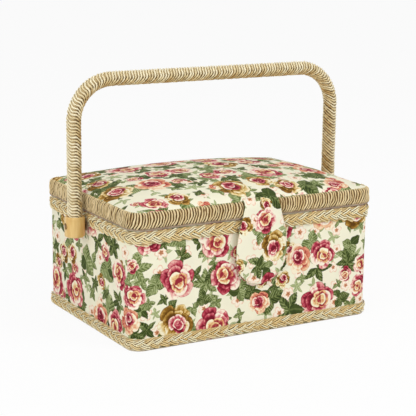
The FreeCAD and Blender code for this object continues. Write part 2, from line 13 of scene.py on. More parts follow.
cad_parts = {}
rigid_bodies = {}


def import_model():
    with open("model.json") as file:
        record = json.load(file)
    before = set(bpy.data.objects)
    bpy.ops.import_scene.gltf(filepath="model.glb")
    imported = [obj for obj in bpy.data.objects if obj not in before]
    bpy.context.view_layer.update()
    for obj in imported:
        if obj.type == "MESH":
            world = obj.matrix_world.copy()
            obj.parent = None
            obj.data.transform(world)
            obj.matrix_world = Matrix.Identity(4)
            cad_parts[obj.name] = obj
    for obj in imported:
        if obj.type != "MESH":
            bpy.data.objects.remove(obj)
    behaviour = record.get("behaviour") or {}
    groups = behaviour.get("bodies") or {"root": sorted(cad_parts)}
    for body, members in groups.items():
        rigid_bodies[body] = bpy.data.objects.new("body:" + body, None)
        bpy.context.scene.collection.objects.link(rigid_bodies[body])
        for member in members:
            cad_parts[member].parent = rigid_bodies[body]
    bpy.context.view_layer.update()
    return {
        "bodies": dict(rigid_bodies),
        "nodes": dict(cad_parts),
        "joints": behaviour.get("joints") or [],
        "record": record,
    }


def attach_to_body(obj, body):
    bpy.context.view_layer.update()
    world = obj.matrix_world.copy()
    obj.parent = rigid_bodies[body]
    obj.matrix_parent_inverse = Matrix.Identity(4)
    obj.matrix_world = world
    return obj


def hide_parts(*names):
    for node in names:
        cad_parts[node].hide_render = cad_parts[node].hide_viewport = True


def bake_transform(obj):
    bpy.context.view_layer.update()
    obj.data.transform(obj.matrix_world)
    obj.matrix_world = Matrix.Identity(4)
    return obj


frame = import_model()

MM = 0.001
TURN = 2 * math.pi
NO_UV = (0.0, 0.0)
UV_LAYER = "cut"
WHITE = (1.0, 1.0, 1.0, 1.0)
UPWARD = (0.0, 0.0, 1.0)
log = logging.getLogger("sewing_basket")

Colour = tuple[float, float, float, float]
Number = Union["Term", float, int]


class Body(str, Enum):
    """Bodies of the frame that the pieces ride on."""

    BOX = "box"
    LID = "lid"
    FLAP = "flap"
    HANDLE = "handle"


class Slot(str, Enum):
    """Material slots of the record."""

    PRINT = "printed_cloth"
    PLAIN = "plain_cloth"
    TAPE = "taupe_tape"
    FOAM = "foam"
    PLAIT = "plaited_straw"
    WOUND = "wound_straw"


def srgb(red: int, green: int, blue: int) -> Colour:
    """Turn a colour written 0 to 255 into the linear values that Blender takes.

    Args:
        red, green, blue: Parts of the colour, 0 to 255.

    Returns:
        Linear red, green, blue and an alpha of 1.
    """
    parts = [value / 255 for value in (red, green, blue)]
    linear = [p / 12.92 if p <= 0.04045 else ((p + 0.055) / 1.055) ** 2.4 for p in parts]
    return (linear[0], linear[1], linear[2], 1.0)


# ---------------------------------------------------------------- node expressions


class Graph:
    """A node tree with helpers that write nodes as short expressions."""

    def __init__(self, tree: bpy.types.NodeTree) -> None:
        """Hold the tree that the nodes go into."""
        self.tree = tree

    def feed(self, socket: bpy.types.NodeSocket, value: object) -> None:
        """Link a term or socket to an input, or set the input's own value.

        Args:
            socket: Input socket.
            value: Term, output socket or plain value.
        """
        if isinstance(value, Term):
            self.tree.links.new(value.socket, socket)
        elif isinstance(value, bpy.types.NodeSocket):
            self.tree.links.new(value, socket)
        else:
            socket.default_value = value

    def node(self, kind: str, feeds: Optional[dict] = None, **settings: object) -> bpy.types.Node:
        """Add one node.

        Args:
            kind: Node type.
            feeds: Values for its inputs, by name or index.
            settings: Properties of the node.

        Returns:
            The new node.
        """
        made = self.tree.nodes.new(kind)
        for name, value in settings.items():
            setattr(made, name, value)
        for key, value in (feeds or {}).items():
            self.feed(made.inputs[key], value)
        return made

    def math(self, operation: str, *values: Number) -> "Term":
        """Add a Math node.

        Args:
            operation: What the node does.
            values: Its inputs in order.

        Returns:
            Its result.
        """
        made = self.node("ShaderNodeMath", dict(enumerate(values)), operation=operation)
        return self.term(made)

    def term(self, node: bpy.types.Node, output: Union[int, str] = 0) -> "Term":
        """Wrap one output of a node."""
        return Term(self, node.outputs[output])

    def vector(self, x: Number, y: Number, z: Number = 0.0) -> "Term":
        """Join three numbers into a vector."""
        return self.term(self.node("ShaderNodeCombineXYZ", {0: x, 1: y, 2: z}))

    def split(self, vector: "Term") -> tuple["Term", "Term", "Term"]:
        """Take a vector apart."""
        made = self.node("ShaderNodeSeparateXYZ", {0: vector})
        return self.term(made, 0), self.term(made, 1), self.term(made, 2)

    def vmath(self, operation: str, *values: object) -> "Term":
        """Add a Vector Math node.

        Args:
            operation: What the node does.
            values: Its inputs in order.

        Returns:
            Its vector.
        """
        made = self.node("ShaderNodeVectorMath", dict(enumerate(values)), operation=operation)
        return self.term(made)

    def scale(self, vector: "Term", factor: Number) -> "Term":
        """Multiply a vector by a number."""
        made = self.node("ShaderNodeVectorMath", {0: vector, "Scale": factor}, operation="SCALE")
        return self.term(made)

    @staticmethod
    def distance(x: "Term", y: "Term") -> "Term":
        """Distance of a flat point from the middle."""
        return (x * x + y * y).power(0.5)

    def blend(self, factor: Number, first: object, second: object) -> "Term":
        """Mix two colours.

        Args:
            factor: 0 gives the first, 1 the second.
            first: Colour or term.
            second: Colour or term.

        Returns:
            The mixed colour.
        """
        made = self.node("ShaderNodeMix", {0: factor, 6: first, 7: second}, data_type="RGBA")
        return self.term(made, 2)

    def darken(self, colour: object, factor: Number) -> "Term":
        """Multiply a colour by a number."""
        made = self.node("ShaderNodeMix", {0: 1.0, 6: colour, 7: self.vector(factor, factor, factor)},
                         data_type="RGBA", blend_type="MULTIPLY")
        return self.term(made, 2)

    def ramp(self, value: Number, stops: Sequence[tuple[float, Colour]]) -> "Term":
        """Colour a number along a ramp.

        Args:
            value: Place on the ramp.
            stops: Places and their colours, in order.

        Returns:
            The colour.
        """
        made = self.node("ShaderNodeValToRGB", {0: value})
        line = made.color_ramp.elements
        while len(line) < len(stops):
            line.new(0.5)
        for stop, (place, colour) in zip(line, stops):
            stop.position = place
            stop.color = colour
        return self.term(made)

    def noise(self, vector: "Term", scale: Number, detail: float = 2.0, rough: float = 0.5) -> "Term":
        """Noise from 0 to 1 at a point."""
        made = self.node("ShaderNodeTexNoise", {"Vector": vector, "Scale": scale, "Detail": detail,
                                                "Roughness": rough})
        return self.term(made, 0)


class Term:
    """An output socket that takes part in sums."""

    def __init__(self, graph: Graph, socket: bpy.types.NodeSocket) -> None:
        """Hold the graph and the socket."""
        self.graph = graph
        self.socket = socket

    def __add__(self, other: Number) -> "Term":
        """Sum."""
        return self.graph.math("ADD", self, other)

    def __sub__(self, other: Number) -> "Term":
        """Difference."""
        return self.graph.math("SUBTRACT", self, other)

    def __rsub__(self, other: Number) -> "Term":
        """Difference."""
        return self.graph.math("SUBTRACT", other, self)

    def __mul__(self, other: Number) -> "Term":
        """Product."""
        return self.graph.math("MULTIPLY", self, other)

    def __truediv__(self, other: Number) -> "Term":
        """Quotient."""
        return self.graph.math("DIVIDE", self, other)

    def sine(self) -> "Term":
        """Sine."""
        return self.graph.math("SINE", self)

    def cosine(self) -> "Term":
        """Cosine."""
        return self.graph.math("COSINE", self)

    def size(self) -> "Term":
        """Absolute value."""
        return self.graph.math("ABSOLUTE", self)

    def power(self, exponent: float) -> "Term":
        """Power."""
        return self.graph.math("POWER", self, exponent)

    def floor(self) -> "Term":
        """Whole part."""
        return self.graph.math("FLOOR", self)

    def fraction(self) -> "Term":
        """Part after the point."""
        return self.graph.math("FRACT", self)

    def over(self, other: Number) -> "Term":
        """1 where this is the greater."""
        return self.graph.math("GREATER_THAN", self, other)

    def under(self, other: Number) -> "Term":
        """1 where this is the smaller."""
        return self.graph.math("LESS_THAN", self, other)

    def least(self, other: Number) -> "Term":
        """Smaller of two."""
        return self.graph.math("MINIMUM", self, other)

    def most(self, other: Number) -> "Term":
        """Greater of two."""
        return self.graph.math("MAXIMUM", self, other)

    def ease(self, start: float, end: float, low: float = 0.0, high: float = 1.0) -> "Term":
        """Smooth step between two values.

        Args:
            start, end: Where the step starts and ends.
            low, high: Results at its two ends.

        Returns:
            The stepped number.
        """
        made = self.graph.node("ShaderNodeMapRange", {0: self, 1: start, 2: end, 3: low, 4: high},
                               interpolation_type="SMOOTHSTEP")
        return self.graph.term(made)

    def climb(self, start: float, end: float) -> "Term":
        """Straight climb from 0 to 1 between two values."""
        made = self.graph.node("ShaderNodeMapRange", {0: self, 1: start, 2: end})
        return self.graph.term(made)


# ---------------------------------------------------------------- meshes


@dataclass(frozen=True)
class RoundedLoop:
    """Rounded rectangle in plan, walked from the back middle with the left side first."""

    half_x: float
    half_y: float
    radius: float

    def grown(self, by: float) -> "RoundedLoop":
        """The loop at a distance outside this one."""
        return RoundedLoop(self.half_x + by, self.half_y + by, max(self.radius + by, 0.2 * MM))

    def length(self) -> float:
        """Distance once round."""
        return 4 * (self.half_x + self.half_y - 2 * self.radius) + TURN * self.radius

    def runs(self) -> list[tuple[float, float, Vector]]:
        """Lengths of the straight runs and bends in order.

        Returns:
            For each: its length, its turn (0 for a straight), and its start or bend centre.
        """
        x, y, r = self.half_x - self.radius, self.half_y - self.radius, self.radius
        bend = r * math.pi / 2
        return [
            (x, 0.0, Vector((0, y + r, 0))), (bend, math.pi / 2, Vector((-x, y, 0))),
            (2 * y, 0.0, Vector((-x - r, y, 0))), (bend, math.pi, Vector((-x, -y, 0))),
            (2 * x, 0.0, Vector((-x, -y - r, 0))), (bend, 1.5 * math.pi, Vector((x, -y, 0))),
            (2 * y, 0.0, Vector((x + r, -y, 0))), (bend, TURN, Vector((x, y, 0))),
            (x, 0.0, Vector((x, y + r, 0))),
        ]

    def at(self, distance: float) -> tuple[Vector, Vector]:
        """Find a place on the loop.

        Args:
            distance: Way along the loop, in metres.

        Returns:
            The point and the outward direction there.
        """
        heads = [Vector((-1, 0, 0)), Vector((0, -1, 0)), Vector((1, 0, 0)), Vector((0, 1, 0)),
                 Vector((-1, 0, 0))]
        left = distance % self.length()
        runs = self.runs()
        for index, (long, turn, start) in enumerate(runs):
            if left <= long or index == len(runs) - 1:
                if index % 2 == 0:
                    head = heads[index // 2]
                    return start + head * left, Vector((head.y, -head.x, 0))
                angle = turn + left / self.radius
                out = Vector((math.cos(angle), math.sin(angle), 0))
                return start + out * self.radius, out
            left -= long
        raise ValueError("no place on the loop")

    def marks(self, flat: float, bend: float) -> list[float]:
        """Distances that share out the runs and bends.

        Args:
            flat: Step on straight runs.
            bend: Step on bends.

        Returns:
            Distances from 0 up to, and without, the full length.
        """
        found, start = [], 0.0
        for index, (long, _, _) in enumerate(self.runs()):
            count = max(1, round(long / (flat if index % 2 == 0 else bend)))
            found += [start + long * step / count for step in range(count)]
            start += long
        return found


class Skin:
    """Points, faces and UVs that become one mesh."""

    def __init__(self) -> None:
        """Start empty."""
        self.points: list[Vector] = []
        self.faces: list[tuple[int, ...]] = []
        self.uvs: list[list[tuple[float, float]]] = []

    def grid(self, rows: Sequence[Sequence[Vector]], uvs: Optional[Sequence] = None,
             loop: bool = False) -> list[list[int]]:
        """Add a grid of quads.

        Args:
            rows: Rows of points.
            uvs: Rows of UVs, with one more column than the points where the grid is a loop.
            loop: Whether each row closes on itself.

        Returns:
            Rows of point numbers.
        """
        numbers = []
        for row in rows:
            numbers.append(list(range(len(self.points), len(self.points) + len(row))))
            self.points += [Vector(point) for point in row]
        wide = len(rows[0])
        for low in range(len(rows) - 1):
            for left in range(wide if loop else wide - 1):
                right = (left + 1) % wide
                self.faces.append((numbers[low][left], numbers[low][right],
                                   numbers[low + 1][right], numbers[low + 1][left]))
                if uvs:
                    self.uvs.append([uvs[low][left], uvs[low][left + 1],
                                     uvs[low + 1][left + 1], uvs[low + 1][left]])
                else:
                    self.uvs.append([NO_UV] * 4)
        return numbers

    def bridge(self, first: Sequence[int], second: Sequence[int]) -> None:
        """Join two closed rows of points that are already there with quads.

        Args:
            first, second: Point numbers of the two rows.
        """
        count = len(first)
        for left in range(count):
            right = (left + 1) % count
            self.faces.append((first[left], first[right], second[right], second[left]))
            self.uvs.append([NO_UV] * 4)

    def fan(self, ring: Sequence[int], tip: Vector, uvs: Optional[Sequence] = None) -> None:
        """Close a ring of points to one tip.

        Args:
            ring: Point numbers of the ring.
            tip: Where its faces meet.
            uvs: UVs of the ring, with its first one again at the end.
        """
        number = len(self.points)
        self.points.append(Vector(tip))
        for left in range(len(ring)):
            self.faces.append((ring[left], ring[(left + 1) % len(ring)], number))
            self.uvs.append([uvs[left], uvs[left + 1], NO_UV] if uvs else [NO_UV] * 3)

    def piece(self, name: str, smooth: bool = True) -> bpy.types.Object:
        """Make the object, with its faces outward.

        Args:
            name: Name of the piece.
            smooth: Whether its faces are shaded smooth.

        Returns:
            The new object, at the origin.
        """
        mesh = bpy.data.meshes.new(name)
        mesh.from_pydata([tuple(p) for p in self.points], [], self.faces)
        layer = mesh.uv_layers.new(name=UV_LAYER)
        flat = [uv for face in self.uvs for uv in face]
        for corner, uv in zip(layer.data, flat):
            corner.uv = uv
        work = bmesh.new()
        work.from_mesh(mesh)
        bmesh.ops.recalc_face_normals(work, faces=work.faces)
        work.to_mesh(mesh)
        work.free()
        for face in mesh.polygons:
            face.use_smooth = smooth
        return place(name, mesh)


def place(name: str, mesh: bpy.types.Mesh) -> bpy.types.Object:
    """Put a mesh into the scene at the origin.

    Args:
        name: Name of the object.
        mesh: Its mesh.

    Returns:
        The new object.
    """
    piece = bpy.data.objects.new(name, mesh)
    bpy.context.scene.collection.objects.link(piece)
    return piece


def swept_band(name: str, loop: RoundedLoop,
               outline: Sequence[tuple[float, float]]) -> bpy.types.Object:
    """Sweep a closed outline round a loop.

    Args:
        name: Name of the piece.
        loop: Loop that the outline follows.
        outline: Closed line of (distance outward, height) pairs.

    Returns:
        The closed ring, with UVs of distance round and distance along the outline.
    """
    marks = loop.marks(flat=10 * MM, bend=2.5 * MM)
    places = [loop.at(mark) for mark in marks]
    rows = [[point + out * reach + Vector((0, 0, height)) for point, out in places]
            for reach, height in outline]
    run, runs = 0.0, [0.0]
    for first, second in zip(outline, outline[1:]):
        run += math.dist(first, second)
        runs.append(run)
    across = marks + [loop.length()]
    skin = Skin()
    numbers = skin.grid(rows, [[(mark, run) for mark in across] for run in runs], loop=True)
    skin.bridge(numbers[-1], numbers[0])
    return skin.piece(name)


def crowned_pad(name: str, loop: RoundedLoop, foot: float, height: Callable[[Vector], float],
                rings: int = 24, centre: Vector = Vector((0, 0, 0)),
                flat: float = 8 * MM, bend: float = 2 * MM) -> bpy.types.Object:
    """Make a closed pad over a loop, flat below and crowned above.

    Args:
        name: Name of the piece.
        loop: Edge of the pad in plan.
        foot: Height of its flat side.
        height: Height of its crowned side over a point in plan.
        rings: Rings from its middle to its edge.
        centre: Middle of the loop in plan.
        flat, bend: Steps along the edge.

    Returns:
        The closed pad, with UVs in plan that allow for its slope.
    """
    marks = loop.marks(flat, bend)
    edge = [loop.at(mark)[0] for mark in marks]
    rows, uv_rows = [], []
    reach, last = 0.0, None
    sizes = [math.sin(math.pi / 2 * step / rings) for step in range(1, rings + 1)]
    for size in sizes:
        row = []
        for point in edge:
            spot = centre + point * size
            row.append(Vector((spot.x, spot.y, height(spot))))
        front = min(row, key=lambda p: p.y)
        reach += math.hypot(front.y - last.y, front.z - last.z) if last else abs(front.y - centre.y)
        last = front
        stretch = reach / (loop.half_y * size)
        uv = [(point.x * size * stretch, point.y * size * stretch) for point in edge]
        rows.append(row)
        uv_rows.append(uv + uv[:1])
    skin = Skin()
    numbers = skin.grid(rows, uv_rows, loop=True)
    top = Vector((centre.x, centre.y, height(centre)))
    skin.fan(numbers[0], top, uv_rows[0])
    base = [Vector((spot.x, spot.y, foot)) for spot in rows[-1]]
    middle, ring_place = Vector((centre.x, centre.y, foot)), 0.6
    inner = [middle.lerp(spot, ring_place) for spot in base]
    low = skin.grid([base, inner], loop=True)
    skin.bridge(numbers[-1], low[0])
    skin.fan(low[1], middle)
    return skin.piece(name)


def rounded_edge(loop: RoundedLoop, spot: Vector, shoulder: float) -> float:
    """Say how far a pad has risen from its edge.

    Args:
        loop: Edge of the pad in plan.
        spot: Point in plan.
        shoulder: Distance over which the pad rises.

    Returns:
        0 at the edge and 1 past the shoulder.
    """
    edge = min(loop.half_x - abs(spot.x), loop.half_y - abs(spot.y))
    return 1 - max(0.0, 1 - edge / shoulder) ** 2


@dataclass(frozen=True)
class Stuffing:
    """Cloth simulation that swells a pad from inside while its edge and flat side are held."""

    cap: float
    pressure: float = 4.0
    frames: int = 20

    def swell(self, piece: bpy.types.Object, held: Callable[[Vector], bool]) -> None:
        """Run the simulation and keep its result in the mesh.

        Args:
            piece: Closed pad, made slightly smaller than it ends.
            held: Whether a point stays where it is.
        """
        points = piece.data.vertices
        pins = piece.vertex_groups.new(name="held")
        pins.add([point.index for point in points if held(point.co)], 1.0, "REPLACE")
        cloth = piece.modifiers.new("stuffing", "CLOTH")
        cloth.settings.vertex_group_mass = pins.name
        cloth.settings.use_pressure = True
        cloth.settings.uniform_pressure_force = self.pressure
        cloth.settings.effector_weights.gravity = 0.0
        cloth.point_cache.frame_start, cloth.point_cache.frame_end = 1, self.frames
        for frame in range(1, self.frames + 1):
            bpy.context.scene.frame_set(frame)
        graph = bpy.context.evaluated_depsgraph_get()
        moves = [after.co - before.co
                 for after, before in zip(piece.evaluated_get(graph).data.vertices, points)]
        piece.modifiers.remove(cloth)
        piece.vertex_groups.clear()
        furthest = max(move.length for move in moves)
        for point, move in zip(points, moves):
            point.co += move * min(1.0, self.cap / furthest)
        bpy.context.scene.frame_set(1)
        log.info("%s: swells %.2f mm, kept to %.2f mm", piece.name, furthest / MM, self.cap / MM)


# ---------------------------------------------------------------- finishes


class Finish:
    """A material that is built once and shared."""

    made: dict[str, bpy.types.Material] = {}
    name: str

    def material(self) -> bpy.types.Material:
        """Find the material, or build it on first use.

        Returns:
            The material.
        """
        if self.name not in Finish.made:
            made = bpy.data.materials.new(self.name)
            made.use_nodes = True
            made.node_tree.nodes.clear()
            graph = Graph(made.node_tree)
            output = graph.node("ShaderNodeOutputMaterial")
            graph.feed(output.inputs["Surface"], self.surface(graph))
            Finish.made[self.name] = made
        return Finish.made[self.name]

    def surface(self, graph: Graph) -> Term:
        """Build the shader in a material's graph and return it; each finish has its own."""
        raise NotImplementedError

    def dress(self, piece: bpy.types.Object) -> None:
        """Put the finish on a piece as its only material."""
        piece.data.materials.clear()
        piece.data.materials.append(self.material())

    @staticmethod
    def shader(graph: Graph, colour: object, rough: object, relief: Term, depth: float,
               strength: float, **constants: object) -> Term:
        """Add the main shader with a bump.

        Args:
            graph: Tree to build in.
            colour: Colour or term.
            rough: Roughness or term.
            relief: Height for the bump.
            depth: Bump distance in metres.
            strength: Bump strength.
            constants: Other socket values, with spaces written as underscores.

        Returns:
            The shader.
        """
        made = graph.node("ShaderNodeBsdfPrincipled", {"Base Color": colour, "Roughness": rough})
        for name, value in constants.items():
            made.inputs[name.replace("_", " ")].default_value = value
        bump = graph.node("ShaderNodeBump", {"Strength": strength, "Distance": depth,
                                             "Height": relief})
        graph.feed(made.inputs["Normal"], bump.outputs[0])
        return graph.term(made)

    @staticmethod
    def spot(graph: Graph) -> Term:
        """Object coordinates."""
        return graph.term(graph.node("ShaderNodeTexCoord"), "Object")


Drawing = Callable[[Graph, Term, Term, Term], tuple[Term, Term, Term]]


def motif(name: str, draw: Drawing) -> bpy.types.NodeTree:
    """Build a printed motif as a node group.

    Args:
        name: Name of the group.
        draw: Draws the motif from its own x, y (edge at 1) and a random number.

    Returns:
        A group that gives the motif's shade, where it covers and where its heart is.
    """
    if name in bpy.data.node_groups:
        return bpy.data.node_groups[name]
    tree = bpy.data.node_groups.new(name, "ShaderNodeTree")
    for title in ("X", "Y", "Chance"):
        tree.interface.new_socket(title, in_out="INPUT", socket_type="NodeSocketFloat")
    for title in ("Shade", "Cover", "Heart"):
        tree.interface.new_socket(title, in_out="OUTPUT", socket_type="NodeSocketFloat")
    graph = Graph(tree)
    source = graph.node("NodeGroupInput")
    drawn = draw(graph, *(graph.term(source, index) for index in range(3)))
    graph.node("NodeGroupOutput", dict(enumerate(drawn)))
    return tree


@dataclass(frozen=True)
class Rose:
    """Full rose of rings of petals, each ring over the one outside it.

    A ring has its size, half its number of petals, the turn of its first petal and its shift upward.
    """

    rings: tuple[tuple[float, float, float, float], ...] = (
        (1.0, 2.5, 0.3, 0.0), (0.76, 2.0, 1.9, 0.05), (0.54, 1.5, 0.4, 0.13), (0.30, 1.0, 0.2, 0.19))
    heart_ring: int = 2
    wobble: float = 0.34
    narrow: float = 1.12
    fan_spread: float = 2.4
    fan_depth: float = 1.6
    streaks: float = 1.6
    petal_tones: float = 0.36
    rim_pale: float = 0.6
    rim_dark: float = 0.34
    seam_dark: float = 0.35

    def __call__(self, graph: Graph, x: Term, y: Term, chance: Term) -> tuple[Term, Term, Term]:
        """Draw the rose.

        Args:
            graph: Tree of the group.
            x, y: Place in the motif, edge at 1.
            chance: Random number of this rose.

        Returns:
            Shade from deep to pale, cover, and where the heart is.
        """
        swirl = graph.noise(graph.vector(x, y, chance * 37), 2.2, 1.0)
        x = (x + (swirl - 0.5) * self.wobble) * self.narrow
        reach = graph.distance(x, y) + 0.06
        fan = graph.vector(x / reach * self.fan_spread, y / reach * self.fan_spread,
                           reach * self.fan_depth + chance * 53)
        grain = graph.vector(x, y, chance * 53)
        streak = graph.noise(fan, 2.0, 2.0) * 0.6 + graph.noise(grain, 5.0, 2.0) * 0.4
        shade: Optional[Term] = None
        cover: Optional[Term] = None
        heart: Optional[Term] = None
        for index, (size, petals, phase, rise) in enumerate(self.rings):
            up = y - rise
            wave = graph.math("ARCTAN2", up, x) * petals + chance * 9 + phase
            lobe = wave.cosine().size()
            petal = ((wave * (1 / math.pi) + 0.5).floor() * 4.37 + index * 2.1 + chance * 60).sine()
            near = graph.distance(x, up) / ((lobe.power(0.45) * 0.28 + 0.74) * size)
            tone = near.ease(0.56, 0.95) * self.rim_pale + (streak - 0.5) * self.streaks
            tone = tone + petal * self.petal_tones + 0.1
            tone = tone - near.ease(0.93, 1.0) * self.rim_dark - lobe.ease(0.3, 0.0) * self.seam_dark
            inside = near.ease(1.0, 0.965)
            if shade is None:
                shade, cover = tone, inside
            else:
                shade = shade + (tone - shade) * inside
            if index == self.heart_ring:
                heart = inside
        return shade, cover, heart


@dataclass(frozen=True)
class Spray:
    """Spray of veined leaves that spread from one point."""

    leaves: int
    wide: float
    wobble: float = 0.45
    shortest: float = 0.6
    bare: float = 0.12
    teeth: float = 8.0
    tooth: float = 0.03
    veins: float = 4.6
    vein_slant: float = 1.1
    plain_from: float = 0.86

    def __call__(self, graph: Graph, x: Term, y: Term, chance: Term) -> tuple[Term, Term, Term]:
        """Draw the spray.

        Args:
            graph: Tree of the group.
            x, y: Place in the motif, edge at 1.
            chance: Random number of this spray.

        Returns:
            Shade from deep to pale, cover, and where a leaf is plain.
        """
        swirl = graph.noise(graph.vector(x, y, chance * 29), 1.5, 1.0)
        y = y + (swirl - 0.5) * self.wobble
        far = graph.distance(x, y)
        sector = graph.math("ARCTAN2", y, x) * (self.leaves / TURN) + chance * 5 + 10
        number = sector.floor()
        lean = (sector.fraction() - 0.5) * (TURN / self.leaves)
        luck = ((number * 12.99 + chance * 78.2).sine() * 437.5).fraction().size()
        long = luck * (1 - self.shortest) + self.shortest
        along = far * lean.cosine() / long
        across = far * lean.sine() / long
        side = across.size()
        body = (along.least(1.0).most(0.0).power(0.72) * math.pi).sine()
        wide = body * self.wide - (along * self.teeth).fraction() * self.tooth
        inside = (wide - side).ease(0.0, 0.03) * along.under(1.0) * luck.over(self.bare)
        rib = side.ease(0.04, 0.015)
        feather = ((along - side * self.vein_slant) * self.veins).fraction()
        streak = graph.noise(graph.vector(along, across, chance * 31), 5.0, 2.0)
        veined = feather.ease(0.1, 1.0) * 0.5 + (streak - 0.5) * 0.9 + across.over(0.0) * 0.2 + 0.02
        plain = (luck * 37).fraction().over(self.plain_from)
        shade = veined.most(rib * 0.5) * (1.0 - plain) + (streak * 0.45 + rib * 0.2) * plain
        return shade - (wide - side).ease(0.06, 0.0) * 0.15, inside, plain


@dataclass(frozen=True)
class Blossom:
    """Small open flower."""

    petals: int = 5
    eye: float = 0.3
    streaks: float = 0.7
    rim_pale: float = 0.72
    rim_dark: float = 0.34

    def __call__(self, graph: Graph, x: Term, y: Term, chance: Term) -> tuple[Term, Term, Term]:
        """Draw the flower.

        Args:
            graph: Tree of the group.
            x, y: Place in the motif, edge at 1.
            chance: Random number of this flower.

        Returns:
            Shade from deep to pale, cover, and where the eye is.
        """
        angle = graph.math("ARCTAN2", y, x)
        lobe = (angle * (self.petals / 2) + chance * 7).cosine().size()
        near = graph.distance(x, y) / (lobe.power(0.6) * 0.5 + 0.46)
        streak = graph.noise(graph.vector(x, y, chance * 17), 5.0, 2.0)
        shade = near.ease(0.2, 0.5) * self.rim_pale + (streak - 0.5) * self.streaks
        shade = shade - near.ease(0.72, 0.95) * self.rim_dark + 0.12
        return shade, near.ease(1.0, 0.93), near.under(self.eye)


Ramp = tuple[tuple[float, Colour], ...]


@dataclass(frozen=True)
class PrintLayer:
    """One kind of motif strewn over the cloth.

    Each cell of the cloth may hold one motif, which fills its room up to the reach and the largest
    radius. The share is how many cells hold one, the shift sets the layers apart, and each ramp has
    the random number up to which it is used, with another ramp for the motif's heart.
    """

    name: str
    draw: Drawing
    cell: float
    reach: float
    largest: float
    share: float
    shift: tuple[float, float]
    ramps: tuple[tuple[float, Ramp], ...]
    hearts: tuple[Ramp, ...] = ()


CRIMSON = ((0.0, srgb(116, 20, 38)), (0.2, srgb(166, 44, 64)), (0.4, srgb(200, 92, 104)),
           (0.62, srgb(232, 170, 160)), (0.86, srgb(250, 238, 216)))
BLUSH = ((0.0, srgb(150, 40, 52)), (0.2, srgb(194, 92, 84)), (0.4, srgb(226, 172, 116)),
         (0.62, srgb(242, 216, 160)), (0.9, srgb(250, 240, 212)))
PEACH = ((0.0, srgb(164, 64, 58)), (0.22, srgb(208, 112, 92)), (0.46, srgb(226, 160, 122)),
         (0.7, srgb(240, 202, 160)), (0.95, srgb(250, 238, 210)))
OCHRE = ((0.0, srgb(96, 62, 14)), (0.26, srgb(136, 96, 28)), (0.46, srgb(184, 142, 66)),
         (0.66, srgb(226, 198, 130)), (0.95, srgb(248, 240, 210)))
DARK_LEAF = ((0.0, srgb(46, 58, 22)), (0.3, srgb(68, 82, 36)), (0.6, srgb(118, 130, 74)),
             (1.0, srgb(178, 186, 134)))
SAGE_LEAF = ((0.0, srgb(70, 84, 38)), (0.26, srgb(112, 126, 70)), (0.6, srgb(160, 170, 116)),
             (1.0, srgb(216, 218, 176)))
PALE_LEAF = ((0.0, srgb(134, 146, 92)), (0.4, srgb(174, 184, 132)), (1.0, srgb(222, 224, 188)))
PALE_BLOOM = ((0.0, srgb(150, 92, 46)), (0.26, srgb(218, 150, 112)), (0.5, srgb(238, 200, 170)),
              (0.9, srgb(252, 244, 226)))


